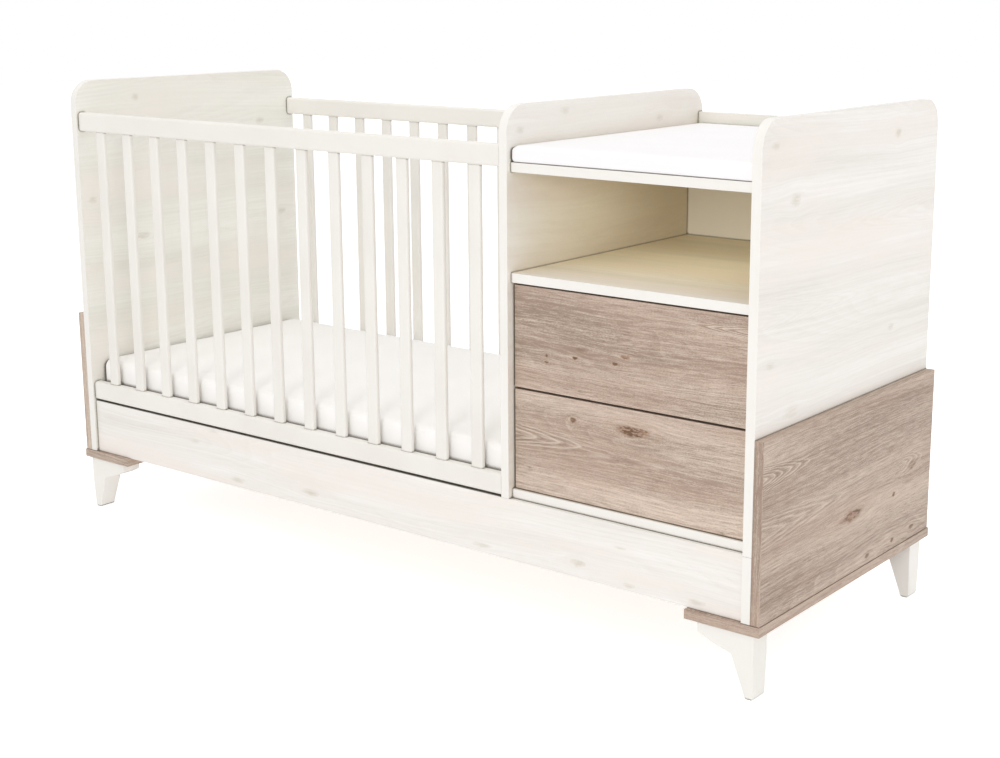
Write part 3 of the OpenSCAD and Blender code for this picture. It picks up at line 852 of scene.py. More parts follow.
class Palette:
    """Every finish of the object."""

    def __init__(self) -> None:
        """Sets each finish's colours."""
        effects = Effects()
        self.white = Decor("bleached_decor", "bleached_board", effects,
                           pale=paint(245, 241, 237), dark=paint(226, 222, 215),
                           blush=paint(239, 231, 224), line=paint(216, 211, 200),
                           glint=paint(249, 247, 243), core=paint(206, 199, 184),
                           halo=paint(226, 219, 209), lines=24.0, bands=0.75, streaks=0.5,
                           fibres=0.22, speckle=0.06, blushes=0.8, growth=0.14, dashes=0.12,
                           rings=0.35, drift=0.05, softness=0.5, rough=0.5,
                           relief_height=0.1 * MM)
        # The brown decors carry a browner colour for their painted shade where pieces meet.
        self.brown = Decor("brown_decor", "brown_board", effects,
                           joint=paint(112, 95, 80),
                           pale=paint(210, 192, 176), dark=paint(149, 128, 112),
                           blush=paint(186, 156, 140), line=paint(128, 106, 88),
                           glint=paint(222, 207, 190), core=paint(100, 72, 48),
                           halo=paint(156, 122, 94), lines=26.0, bands=0.6, streaks=0.5,
                           fibres=0.65, speckle=0.5, blushes=0.3, growth=0.2, dashes=0.6,
                           rings=0.4, drift=0.045, softness=0.18, rough=0.55)
        self.brown_banded = replace(self.brown, name="brown_banded_decor",
                                    pale=paint(222, 205, 189), bands=1.0)
        self.brown_light = replace(self.brown, name="brown_light_decor",
                                   pale=paint(222, 204, 188), dark=paint(161, 140, 124))
        self.brown_deep = replace(self.brown, name="brown_deep_decor",
                                  pale=paint(204, 186, 170), dark=paint(139, 118, 102),
                                  blush=paint(178, 148, 132), bands=0.75)
        # A darker copy of the white decor, for the guard: painted shade.
        self.painted_shade_white = replace(self.white, name="painted_shade_decor", pale=paint(222, 222, 212),
                              dark=paint(211, 212, 200), glint=paint(229, 229, 219))
        # A lighter, less pink copy of the white decor for the left end: painted light.
        self.end_lit_white = replace(self.white, name="end_lit_decor", pale=paint(244, 243, 236),
                            dark=paint(229, 227, 217), blush=paint(240, 234, 226))
        self.pine = Decor("planed_pine", "plain_pine", effects,
                          pale=paint(228, 200, 154), dark=paint(206, 172, 122),
                          blush=paint(216, 184, 132), line=paint(178, 134, 84),
                          glint=paint(234, 208, 164), core=paint(128, 84, 46),
                          halo=paint(176, 128, 78), lines=30.0,
                          bands=0.4, streaks=0.9, fibres=0.5, speckle=0.2, blushes=0.3,
                          growth=0.5, dashes=0.2, drift=0.02, rough=0.62)
        self.ivory = Lacquer("ivory_lacquer", "ivory_lacquer", effects,
                             coat=paint(238, 235, 229), thin=paint(232, 228, 221))
        self.band = Lacquer("pale_band", "bleached_board", effects,
                            coat=paint(240, 237, 232), thin=paint(236, 232, 226), rough=0.46)
        self.coated = Lacquer("coated_board", "drawer_board", effects,
                              coat=paint(236, 235, 230), thin=paint(229, 228, 222), rough=0.5)
        # The thin back carries a weaker painted warm bounce shade.
        self.fibre = Lacquer("coated_fibreboard", "thin_back", effects,
                             coat=paint(242, 238, 231), thin=paint(235, 231, 223), rough=0.58,
                             painted_bounce_tone=paint(254, 250, 236))
        self.cotton = Cloth("cotton_cover", "mattress_cover", effects,
                            color=paint(253, 251, 249), shade=paint(248, 246, 243))
        self.wipeable = Cloth("wipe_clean_cover", "pad_cover", effects,
                              color=paint(246, 244, 245), shade=paint(241, 239, 240),
                              thread=1.6 * MM, fuzz=0.8, relief_height=0.1 * MM,
                              relief_strength=0.2, rough=0.55, sheen=0.08, reach=6 * MM,
                              joints=0.6)
        self.steel = Metal("plated_steel", "slide_steel", effects,
                           color=paint(196, 198, 202), dull=paint(168, 170, 174))
        self.zinc = Metal("cast_zinc", "zinc_fitting", effects,
                          color=paint(180, 181, 184), dull=paint(150, 151, 154), rough=0.42,
                          fine=400.0)


# ---------------------------------------------------------------- meshes


def link(name: str, mesh: bpy.types.Mesh) -> bpy.types.Object:
    """Puts a mesh into the scene.

    Args:
        name: The object's name.
        mesh: Its mesh.

    Returns:
        The new object.
    """
    made = bpy.data.objects.new(name, mesh)
    bpy.context.scene.collection.objects.link(made)
    return made


def from_bmesh(name: str, shape: bmesh.types.BMesh) -> bpy.types.Object:
    """Turns a bmesh into an object with smooth faces.

    Args:
        name: The object's name.
        shape: The bmesh, which is freed.

    Returns:
        The new object.
    """
    mesh = bpy.data.meshes.new(name)
    for face in shape.faces:
        face.smooth = True
    shape.to_mesh(mesh)
    shape.free()
    return link(name, mesh)


def settle(made: bpy.types.Object) -> bpy.types.Object:
    """Applies every modifier of an object.

    Args:
        made: The object.

    Returns:
        The same object, with the result as its plain mesh.
    """
    graph = bpy.context.evaluated_depsgraph_get()
    graph.update()
    mesh = bpy.data.meshes.new_from_object(made.evaluated_get(graph), depsgraph=graph)
    old = made.data
    made.modifiers.clear()
    made.data = mesh
    mesh.name = made.name
    if old.users == 0:
        bpy.data.meshes.remove(old)
    return made


def soften(made: bpy.types.Object, width: float, segments: int = 3, angle: float = 30.0,
           by_weight: bool = False) -> bpy.types.Object:
    """Rounds an object's arrises.

    Args:
        made: The object.
        width: The width of the rounding, in metres.
        segments: Faces across the rounding.
        angle: Edges sharper than this many degrees are rounded.
        by_weight: Rounds only the edges that carry a bevel weight.

    Returns:
        The object with its rounding applied.
    """
    bevel = made.modifiers.new("arris", "BEVEL")
    bevel.width = width
    bevel.segments = segments
    bevel.limit_method = "WEIGHT" if by_weight else "ANGLE"
    bevel.angle_limit = math.radians(angle)
    bevel.use_clamp_overlap = True
    settle(made)
    made.data.set_sharp_from_angle(angle=math.radians(HARD_ANGLE))
    flat = made.modifiers.new("flat_faces", "WEIGHTED_NORMAL")
    flat.keep_sharp = True
    return settle(made)


def smooth_faces(made: bpy.types.Object) -> None:
    """Shades an object smoothly but for its hard edges.

    Args:
        made: The object.
    """
    for polygon in made.data.polygons:
        polygon.use_smooth = True
    made.data.set_sharp_from_angle(angle=math.radians(HARD_ANGLE))


def set_materials(made: bpy.types.Object, *materials: bpy.types.Material) -> None:
    """Gives an object its materials.

    Args:
        made: The object.
        *materials: Its materials in order.
    """
    made.data.materials.clear()
    for material in materials:
        made.data.materials.append(material)


def corner_arc(centre: tuple[float, float], radius: float, start: float, steps: int) -> list:
    """Points of a quarter circle.

    Args:
        centre: Its centre.
        radius: Its radius.
        start: The angle of its first point, in degrees.
        steps: Steps between its first and its last point.

    Returns:
        The points in order.
    """
    points = []
    for step in range(steps + 1):
        angle = math.radians(start + 90.0 * step / steps)
        points.append((centre[0] + radius * math.cos(angle), centre[1] + radius * math.sin(angle)))
    return points


def slab(name: str, low: Vector, high: Vector, thin: Axis, corners: Sequence[float],
         steps: int = 14) -> bpy.types.Object:
    """A board between two corners, with its own radius at each corner of its large face.

    Args:
        name: The piece's name.
        low: The lowest corner, in metres.
        high: The highest corner, in metres.
        thin: The direction of its thickness.
        corners: Radii at low-low, high-low, high-high and low-high.
        steps: Points in each rounded corner.

    Returns:
        The board, sharp edged.
    """
    first, second = ((1, 2), (0, 2), (0, 1))[thin.value]
    spots = [(low[first], low[second], 1, 1, 180.0), (high[first], low[second], -1, 1, 270.0),
             (high[first], high[second], -1, -1, 0.0), (low[first], high[second], 1, -1, 90.0)]
    outline: list[tuple[float, float]] = []
    for (a, b, side_a, side_b, start), radius in zip(spots, corners):
        if radius <= 0.0:
            outline.append((a, b))
        else:
            outline += corner_arc((a + side_a * radius, b + side_b * radius), radius, start, steps)
    shape = bmesh.new()
    rings = []
    for level in (low[thin.value], high[thin.value]):
        ring = []
        for a, b in outline:
            spot = [0.0, 0.0, 0.0]
            spot[thin.value], spot[first], spot[second] = level, a, b
            ring.append(shape.verts.new(spot))
        rings.append(ring)
    shape.faces.new(rings[0])
    shape.faces.new(rings[1])
    count = len(outline)
    for index in range(count):
        after = (index + 1) % count
        shape.faces.new((rings[0][index], rings[0][after], rings[1][after], rings[1][index]))
    bmesh.ops.recalc_face_normals(shape, faces=shape.faces)
    return from_bmesh(name, shape)


def node_copy(name: str, node: str, flat: float = 1.0) -> bpy.types.Object:
    """A joined and cleaned copy of a CAD node's mesh.

    Args:
        name: The copy's name.
        node: The node to copy.
        flat: Faces that meet at less than this many degrees become one.

    Returns:
        The copy, in the node's place.
    """
    shape = bmesh.new()
    shape.from_mesh(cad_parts[node].data)
    bmesh.ops.remove_doubles(shape, verts=shape.verts, dist=2 * WELD)
    bmesh.ops.dissolve_limit(shape, angle_limit=math.radians(flat), verts=shape.verts,
                             edges=shape.edges)
    return from_bmesh(name, shape)


def weigh_long_edges(made: bpy.types.Object, shortest: float, sharp: float = 60.0) -> None:
    """Marks an object's long outer edges for rounding.

    Args:
        made: The object.
        shortest: The shortest edge that is marked, in metres.
        sharp: The least angle between the edge's faces, in degrees.
    """
    shape = bmesh.new()
    shape.from_mesh(made.data)
    layer = shape.edges.layers.float.new("bevel_weight_edge")
    for edge in shape.edges:
        turned = len(edge.link_faces) == 2 and edge.calc_face_angle_signed(0.0)
        if turned and edge.calc_length() >= shortest and turned > math.radians(sharp):
            edge[layer] = 1.0
    shape.to_mesh(made.data)
    shape.free()


def place_piece(made: bpy.types.Object, body: str, slot: str, *nodes: str) -> bpy.types.Object:
    """Rides a piece on its body and hides the nodes that it stands for.

    Args:
        made: The piece.
        body: The body that it moves with.
        slot: Not used.
        *nodes: The CAD nodes that it replaces.

    Returns:
        The piece.
    """
    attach(made, body)
    if nodes:
        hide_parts(*nodes)
    LOG.info("%s rides on %s, %d faces", made.name, body, len(made.data.polygons))
    return made


def dress_node(node: str, material: bpy.types.Material) -> None:
    """Gives a CAD node that keeps its own shape its material.

    Args:
        node: The node.
        material: Its material.
    """
    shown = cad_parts[node]
    if not shown.material_slots:
        shown.data.materials.append(material)
    for slot in shown.material_slots:
        slot.material = material
    LOG.info("%s is dressed as packed", node)


# ---------------------------------------------------------------- geometry node trees


class BarTree:
    """Rounded bars in a row, such as the crib's uprights and the slats of its base."""

    corner_steps = 4

    def __init__(self) -> None:
        """Builds the tree once."""
        graph, given, out = new_group(
            "bars_in_a_row", "GeometryNodeTree",
            [("Geometry", "NodeSocketGeometry"), ("Count", "NodeSocketInt"), ("First", VECTOR),
             ("Step", VECTOR), *floats("Width", "Thickness", "Rounding", "Length"),
             ("Turn", "NodeSocketRotation"), ("Material", "NodeSocketMaterial")],
            [("Geometry", "NodeSocketGeometry")])
        outline = graph.add("GeometryNodeCurvePrimitiveQuadrilateral",
                            {"Width": given["Width"], "Height": given["Thickness"]})
        rounded = graph.add("GeometryNodeFilletCurve", {
            "Curve": outline.outputs[0], "Radius": given["Rounding"], "Limit Radius": True,
            "Count": self.corner_steps}, mode="POLY")
        filled = graph.add("GeometryNodeFillCurve", {"Curve": rounded.outputs[0]}, mode="NGONS")
        raised = graph.add("GeometryNodeExtrudeMesh", {
            "Mesh": filled.outputs[0], "Offset": graph.vector(0.0, 0.0, given["Length"]),
            "Offset Scale": 1.0, "Individual": False})
        under = graph.add("GeometryNodeFlipFaces", {"Mesh": filled.outputs[0]})
        joined = graph.add("GeometryNodeJoinGeometry")
        for part in (raised, under):
            graph.tree.links.new(part.outputs["Mesh"], joined.inputs[0])
        closed = graph.add("GeometryNodeMergeByDistance",
                           {"Geometry": joined.outputs[0], "Distance": WELD})
        turned = graph.add("GeometryNodeTransform",
                           {"Geometry": closed.outputs[0], "Rotation": given["Turn"]})
        points = graph.add("GeometryNodeMeshLine", {
            "Count": given["Count"], "Start Location": given["First"], "Offset": given["Step"]})
        copies = graph.add("GeometryNodeInstanceOnPoints",
                           {"Points": points.outputs[0], "Instance": turned.outputs[0]})
        real = graph.add("GeometryNodeRealizeInstances", {"Geometry": copies.outputs[0]})
        coated = graph.add("GeometryNodeSetMaterial",
                           {"Geometry": real.outputs[0], "Material": given["Material"]})
        graph.feed(out[0], coated.outputs[0])
        self.tree = graph.tree

    def row(self, node: str, slot: str, material: bpy.types.Material, count: int, width: float,
            rounding: float, lying: bool = False) -> None:
        """Sets a row of bars in a node's place and puts it on the frame.

        Args:
            node: The node that the row stands for.
            slot: The node's material slot.
            material: The bars' material.
            count: How many bars there are.
            width: The width of a bar along the row, in metres.
            rounding: The radius of its edges, in metres.
            lying: Whether the bars lie from front to back; otherwise they stand.
        """
        low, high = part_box(node)
        middle = (low + high) / 2
        size = high - low
        first, thickness, length, turn = (low.x + width / 2, middle.y, low.z), size.y, size.z, 0.0
        if lying:
            first, thickness, length = (low.x + width / 2, low.y, middle.z), size.z, size.y
            turn = -math.pi / 2
        made = run_tree(f"{node}_dressed", self.tree, {
            "Count": count, "First": first, "Step": ((size.x - width) / (count - 1), 0.0, 0.0),
            "Width": width, "Thickness": thickness, "Rounding": rounding, "Length": length,
            "Turn": Euler((turn, 0.0, 0.0)), "Material": material})
        smooth_faces(made)
        place_piece(made, "frame", slot, node)


def run_tree(name: str, tree: bpy.types.NodeTree, values: dict[str, Value]) -> bpy.types.Object:
    """Runs a geometry tree and keeps its result as a plain mesh.

    Args:
        name: The piece's name.
        tree: The geometry tree.
        values: Its inputs by name.

    Returns:
        The finished object.
    """
    made = link(name, bpy.data.meshes.new(name))
    modifier = made.modifiers.new("tree", "NODES")
    modifier.node_group = tree
    for item in tree.interface.items_tree:
        if item.item_type == "SOCKET" and item.in_out == "INPUT" and item.name in values:
            modifier[item.identifier] = values[item.name]
    return settle(made)


# ---------------------------------------------------------------- sub-assemblies


@dataclass
class BoardPiece:
    """One board with its decor, its edge bands and its rounding."""

    node: str
    thin: Axis
    face: bpy.types.Material
    band: bpy.types.Material
    body: str = "frame"
    slot: str = "bleached_board"
    corners: tuple[float, float, float, float] = (0.0, 0.0, 0.0, 0.0)
    arris: float = 0.8 * MM
    keep_cuts: bool = False
    long_edge: float = 100 * MM
    front_band: Optional[bpy.types.Material] = None
    least_face: float = 0.95
    least_front: float = 0.7

    def build(self) -> bpy.types.Object:
        """Builds the board and puts it in its node's place.

        Returns:
            The piece.
        """
        name = f"{self.node}_dressed"
        low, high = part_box(self.node)
        if self.keep_cuts:
            made = node_copy(name, self.node)
            weigh_long_edges(made, self.long_edge)
            soften(made, self.arris, by_weight=True)
        else:
            made = slab(name, low, high, self.thin, self.corners)
            soften(made, self.arris)
        bands = [band for band in (self.band, self.front_band) if band]
        set_materials(made, self.face, *bands)
        for polygon in made.data.polygons:
            polygon.material_index = self.slot_of_face(polygon.normal)
        return place_piece(made, self.body, self.slot, self.node)

    def slot_of_face(self, normal: Vector) -> int:
        """Sorts a face of the board.

        Args:
            normal: The face's direction.

        Returns:
            0 for a large face, 1 for a band and 2 for a band at the front or the back.
        """
        if abs(normal[self.thin.value]) > self.least_face:
            return 0
        return 2 if self.front_band and abs(normal.y) > self.least_front else 1


@dataclass
class LowFrame:
    """The bed's ends, covers, plates, feet, aprons, ledgers and slatted base."""

    palette: Palette
    bars: BarTree
    corner: float = 50 * MM
    foot_rounding: float = 4.5 * MM
    foot_edge: float = 1.2 * MM
    foot_angle: float = 35.0
    ledger_arris: float = 1.5 * MM
    base_slat: float = 70 * MM
    base_rounding: float = 3 * MM
    base_count: int = 17

    def build(self) -> None:
        """Builds every piece of the low frame."""
        self.ends()
        self.covers()
        self.aprons()
        self.feet()
        self.base()
        self.fittings()

    def ends(self) -> None:
        """The two pale ends."""
        white, band = self.palette.white, self.palette.band.coating("end_band")
        radii = (0.0, 0.0, self.corner, self.corner)
        # The left end's lighter decor copy is painted light; its wider, darker shade where the
        # mattress meets it is painted shade.
        face = self.palette.end_lit_white.board("left_end", Grain(Axis.Y, Axis.Z, 2.3, 0.4), (
            Knot(-0.163, 0.940, 0.010, 0.007, 0.6), Knot(0.216, 0.863, 0.014, 0.008, 0.5),
            Knot(-0.162, 0.621, 0.022, 0.007, 0.6), Knot(-0.296, 0.717, 0.012, 0.007, 0.5),
            Knot(0.278, 0.632, 0.014, 0.008, 0.5)), reach=0.008, joints=0.85)
        BoardPiece("left_end_panel", Axis.X, face, band, corners=radii).build()
        face = white.board("right_end", Grain(Axis.Y, Axis.Z, 7.9))
        BoardPiece("right_lower_panel", Axis.X, face, band).build()

    def covers(self) -> None:
        """The brown end covers and the brown plates under the ends."""
        brown = self.palette.brown
        stand = brown.board("cover_band", Grain(Axis.Z, Axis.X, 4.4, 1.3))
        lying = brown.board("cover_top_band", Grain(Axis.Y, Axis.X, 9.4, 0.3))
        deep = self.palette.brown_deep
        face = deep.board("right_cover", Grain(Axis.Y, Axis.Z, 1.7, 2.6), (
            Knot(-0.002, 0.250, 0.040, 0.011, 1.0), Knot(0.169, 0.2475, 0.007, 0.005, 1.0),
            Knot(0.253, 0.161, 0.011, 0.006, 0.7), Knot(0.170, 0.156, 0.008, 0.005, 0.9),
            Knot(0.066, 0.1536, 0.010, 0.005, 0.7), Knot(0.246, 0.288, 0.020, 0.010, 0.45)),
            (Arches(-0.165, 0.395, 0.15, 0.022, count=5.0, depth=0.9),
             Arches(-0.02, 0.300, 0.30, 0.030, count=4.0, depth=0.6),
             Arches(0.29, 0.295, 0.07, 0.016, count=3.0, depth=0.6)))
        BoardPiece("right_end_cover", Axis.X, face, lying, slot="brown_board",
                   front_band=stand).build()
        face = brown.board("left_cover", Grain(Axis.Y, Axis.Z, 5.1, 0.9),
                           (Knot(0.06, 0.33, 0.024, 0.010), Knot(-0.17, 0.24, 0.008, 0.006)))
        BoardPiece("left_end_cover", Axis.X, face, lying, slot="brown_board",
                   front_band=stand).build()
        for side, seed in (("left", 3.2), ("right", 6.6)):
            face = deep.board(f"{side}_plate", Grain(Axis.Y, Axis.X, seed, 0.2))
            band = brown.board(f"{side}_plate_band", Grain(Axis.Y, Axis.Z, seed + 1.0))
            front = deep.board(f"{side}_plate_front_band", Grain(Axis.X, Axis.Z, seed + 2.0))
            BoardPiece(f"{side}_base_plate", Axis.Z, face, band, slot="brown_board",
                       keep_cuts=True, front_band=front).build()

    def aprons(self) -> None:
        """The long aprons and the ledgers behind them."""
        band = self.palette.band.coating("apron_band")
        knots = {"front": (
            Knot(-0.168, 0.169, 0.024, 0.006, 0.8), Knot(-0.391, 0.154, 0.020, 0.005, 0.6),
            Knot(-0.523, 0.218, 0.014, 0.005, 0.4), Knot(0.291, 0.153, 0.022, 0.005, 0.6),
            Knot(-0.464, 0.250, 0.020, 0.004, 0.4), Knot(0.515, 0.1666, 0.016, 0.007, 0.9),
            Knot(0.628, 0.149, 0.012, 0.005, 0.6), Knot(0.608, 0.215, 0.012, 0.003, 0.4),
            Knot(0.770, 0.151, 0.016, 0.005, 0.5))}
        for side, seed in (("front", 11.3), ("back", 14.8)):
            face = self.palette.white.board(f"{side}_apron", Grain(Axis.X, Axis.Z, seed),
                                            knots.get(side, ()), joints=0.4)
            BoardPiece(f"{side}_apron", Axis.Y, face, band).build()
            face = self.palette.pine.board(f"{side}_ledger", Grain(Axis.X, Axis.Z, seed + 2.0))
            BoardPiece(f"{side}_ledger", Axis.Y, face, face, slot="plain_pine",
                       arris=self.ledger_arris).build()

    def feet(self) -> None:
        """The bracket feet, with their arrises rounded."""
        # A lighter copy of the ivory lacquer for the feet: painted light.
        coat = replace(self.palette.ivory, coat=paint(244, 241, 236),
                       thin=paint(238, 235, 229)).coating("feet")
        for side in ("front_left", "back_left", "front_right", "back_right"):
            made = node_copy(f"leg_{side}_dressed", f"leg_{side}")
            weigh_long_edges(made, self.foot_edge, self.foot_angle)
            soften(made, self.foot_rounding, segments=4, by_weight=True)
            set_materials(made, coat)
            place_piece(made, "frame", "ivory_lacquer", f"leg_{side}")

    def base(self) -> None:
        """The slats under the mattress, as one row of bars."""
        wood = self.palette.pine.board("base_slats", Grain(Axis.Y, Axis.X, 21.0))
        self.bars.row("base_slats", "plain_pine", wood, self.base_count, self.base_slat,
                      self.base_rounding, lying=True)

    def fittings(self) -> None:
        """The brackets and screws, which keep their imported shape."""
        dress_node("apron_brackets", self.palette.steel.plate("brackets"))
        dress_node("leg_screws", self.palette.steel.plate("leg_screws"))


@dataclass
class SlattedSides:
    """The crib's rails, uprights and their fittings."""

    palette: Palette
    bars: BarTree
    count: int = 13
    width: float = 28 * MM
    rounding: float = 3.4 * MM
    rail_rounding: float = 6 * MM
    rail_steps: int = 8
    rail_arris: float = 0.4 * MM
    rail_angle: float = 60.0

    def build(self) -> None:
        """Builds both sides."""
        coat = self.palette.ivory.coating("rails")
        for side in ("front", "back"):
            for level in ("top", "bottom"):
                node = f"{side}_{level}_rail"
                low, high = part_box(node)
                made = slab(f"{node}_dressed", low, high, Axis.X, (self.rail_rounding,) * 4,
                            self.rail_steps)
                soften(made, self.rail_arris, 2, self.rail_angle)
                set_materials(made, coat)
                place_piece(made, "frame", "ivory_lacquer", node)
            bar_coat = self.palette.ivory.coating(f"{side}_uprights")
            self.bars.row(f"{side}_slats", "ivory_lacquer", bar_coat, self.count, self.width,
                          self.rounding)
        dress_node("rail_cams", self.palette.zinc.plate("rail_cams"))
        dress_node("rail_dowels", self.palette.pine.board("dowels", Grain(Axis.X, Axis.Z, 31.0)))


@dataclass(frozen=True)
class Cells:
    """The room that a soft block fills, in metres, and its cells along and across."""

    middle: Vector
    half: Vector
    floor: float
    height: float
    along: int
    across: int

    def edge(self) -> list[tuple[int, int]]:
        """Goes round the block's edge.

        Returns:
            The cells of the edge in order.
        """
        along, across = self.along, self.across
        cells = [(i, 0) for i in range(along)] + [(along, j) for j in range(across)]
        cells += [(along - i, across) for i in range(along)]
        return cells + [(0, across - j) for j in range(across)]

    def shares(self, cell: tuple[int, int]) -> tuple[float, float]:
        """Where a cell lies along and across, as shares from -1 to 1."""
        return -1 + 2 * cell[0] / self.along, -1 + 2 * cell[1] / self.across


@dataclass
class SoftBlock:
    """A foam block in its cover, blown up a little by a cloth simulation."""

    name: str
    node: str
    finish: Cloth
    pitch: float
    start_in: float
    swell: float
    edge: float
    rise: float
    pull: float
    fill: float
    pressure: float = 4.0
    tension: float = 18.0
    squeeze: float = 14.0
    bending: float = 1.2
    quality: int = 6
    frames: int = 20
    corner: float = 28 * MM
    edge_low: float = 7 * MM

    def build(self) -> bpy.types.Object:
        """Builds the block, simulates its cover and dresses it.

        Returns:
            The finished soft piece.
        """
        made = self.form()
        self.blow_up(made)
        smooth = made.modifiers.new("smooth", "SUBSURF")
        smooth.levels = smooth.render_levels = 1
        settle(made)
        self.keep_inside(made)
        for polygon in made.data.polygons:
            polygon.use_smooth = True
        set_materials(made, self.finish.cover(self.name))
        return place_piece(made, "frame", self.finish.slot, self.node)

    def form(self) -> bpy.types.Object:
        """Makes the cushion before the simulation, crowned and with its sides pulled in.

        Returns:
            The closed cushion.
        """
        low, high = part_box(self.node)
        size = high - low
        half = Vector((size.x / 2 - self.start_in, size.y / 2 - self.start_in, 0.0))
        along, across = (max(6, round(2 * reach / self.pitch)) for reach in half.xy)
        cells = Cells((low + high) / 2, half, low.z, size.z, along, across)
        rows = max(4, round(size.z / self.pitch) + 1)
        shape = bmesh.new()
        rings = [self.ring(shape, cells, row / rows) for row in range(rows + 1)]
        for lower, upper in zip(rings, rings[1:]):
            count = len(lower)
            for index in range(count):
                after = (index + 1) % count
                shape.faces.new((lower[index], lower[after], upper[after], upper[index]))
        self.cap(shape, cells, rings[0], 0.0)
        self.cap(shape, cells, rings[-1], 1.0)
        bmesh.ops.remove_doubles(shape, verts=shape.verts, dist=WELD)
        bmesh.ops.recalc_face_normals(shape, faces=shape.faces)
        return from_bmesh(self.name, shape)

    def bend(self, half: Vector, u: float, v: float, inset: float) -> tuple[float, float]:
        """Turns a spot of a square into one of the rounded rectangle.

        Args:
            half: Half the rectangle's sides.
            u: The spot's share along, from -1 to 1.
            v: Its share across.
            inset: How far the rectangle is drawn in.

        Returns:
            The spot from the rectangle's middle.
        """
        x, y = u * half.x, v * half.y
        reach_x, reach_y = half.x - self.corner, half.y - self.corner
        over_x, over_y = max(abs(x) - reach_x, 0.0), max(abs(y) - reach_y, 0.0)
        if over_x > 0 and over_y > 0:
            most, least = max(over_x, over_y), min(over_x, over_y)
            angle = (math.pi / 4) * least / most
            first, second = most * math.cos(angle), most * math.sin(angle)
            over_x, over_y = (first, second) if over_x >= over_y else (second, first)
            x = math.copysign(reach_x + over_x, x)
            y = math.copysign(reach_y + over_y, y)
        return x * ((half.x - inset) / half.x), y * ((half.y - inset) / half.y)

    def side_inset(self, share: float, height: float) -> float:
        """Rounds the block's upper and lower edges.

        Args:
            share: A share of the height.
            height: The block's height.

        Returns:
            How far the side stands in there.
        """
        rise = min(share, 1 - share) * height
        edge = self.edge_low if share < 0.5 else self.edge
        if rise >= edge:
            return 0.0
        return edge - math.sqrt(max(edge ** 2 - (edge - rise) ** 2, 0.0))

    def ring(self, shape: bmesh.types.BMesh, cells: Cells, share: float) -> list:
        """Adds one ring of the block's side.

        Args:
            shape: The block's bmesh.
            cells: The block's cells.
            share: The ring's share of the height.

        Returns:
            The ring's points in order.
        """
        inset = self.side_inset(share, cells.height)
        ring = []
        for cell in cells.edge():
            u, v = cells.shares(cell)
            x, y = self.bend(cells.half, u, v, inset)
            far, near = max(abs(u), abs(v)), min(abs(u), abs(v))
            pulled = self.pull * math.sin(math.pi * share) * far ** 2 * max(0.0, 1.0 - near ** 2)
            if abs(u) >= abs(v):
                x -= math.copysign(pulled, x)
            else:
                y -= math.copysign(pulled, y)
            ring.append(shape.verts.new((cells.middle.x + x, cells.middle.y + y,
                                         cells.floor + share * cells.height)))
        return ring

    def cap(self, shape: bmesh.types.BMesh, cells: Cells, ring: list, share: float) -> None:
        """Closes the block with a grid that is crowned on top and flat below.

        Args:
            shape: The block's bmesh.
            cells: The block's cells.
            ring: The ring that is closed.
            share: The grid's share of the height, 0 or 1.
        """
        inset = self.side_inset(share, cells.height)
        grid: dict[tuple[int, int], bmesh.types.BMVert] = dict(zip(cells.edge(), ring))
        for i in range(1, cells.along):
            for j in range(1, cells.across):
                u, v = cells.shares((i, j))
                x, y = self.bend(cells.half, u, v, inset)
                dome = self.rise * ((1 - u ** 4) * (1 - v ** 4))
                level = cells.floor + share * (cells.height + dome)
                grid[i, j] = shape.verts.new((cells.middle.x + x, cells.middle.y + y, level))
        for i in range(cells.along):
            for j in range(cells.across):
                shape.faces.new((grid[i, j], grid[i + 1, j], grid[i + 1, j + 1], grid[i, j + 1]))

    def blow_up(self, made: bpy.types.Object) -> None:
        """Runs the cover as a cloth under pressure and holds how far it may move.

        Args:
            made: The cushion.
        """
        rest = [vert.co.copy() for vert in made.data.vertices]
        cloth = made.modifiers.new("cover", "CLOTH")
        cloth.settings.effector_weights.gravity = 0.0
        for key, value in (("use_pressure", True), ("uniform_pressure_force", self.pressure),
                           ("quality", self.quality), ("tension_stiffness", self.tension),
                           ("compression_stiffness", self.squeeze),
                           ("bending_stiffness", self.bending)):
            setattr(cloth.settings, key, value)
        cloth.point_cache.frame_start = 1
        cloth.point_cache.frame_end = self.frames
        for step in range(1, self.frames + 1):
            bpy.context.scene.frame_set(step)
        graph = bpy.context.evaluated_depsgraph_get()
        moved = [vert.co.copy() for vert in made.evaluated_get(graph).data.vertices]
        made.modifiers.clear()
        bpy.context.scene.frame_set(1)
        for vert, old, new in zip(made.data.vertices, rest, moved):
            way = new - old
            if way.length > self.swell:
                way.length = self.swell
            vert.co = old + way

    def keep_inside(self, made: bpy.types.Object) -> None:
        """Holds the cover to the place that its solid has, flat where it rests.

        Args:
            made: The cover.
        """
        low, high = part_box(self.node)
        over = max(-self.start_in, 0.0)
        for vert in made.data.vertices:
            spot = vert.co
            spot.x = min(max(spot.x, low.x - over), high.x + over)
            spot.y = min(max(spot.y, low.y - over), high.y + over)
            spot.z = min(max(spot.z, low.z), high.z + self.rise)


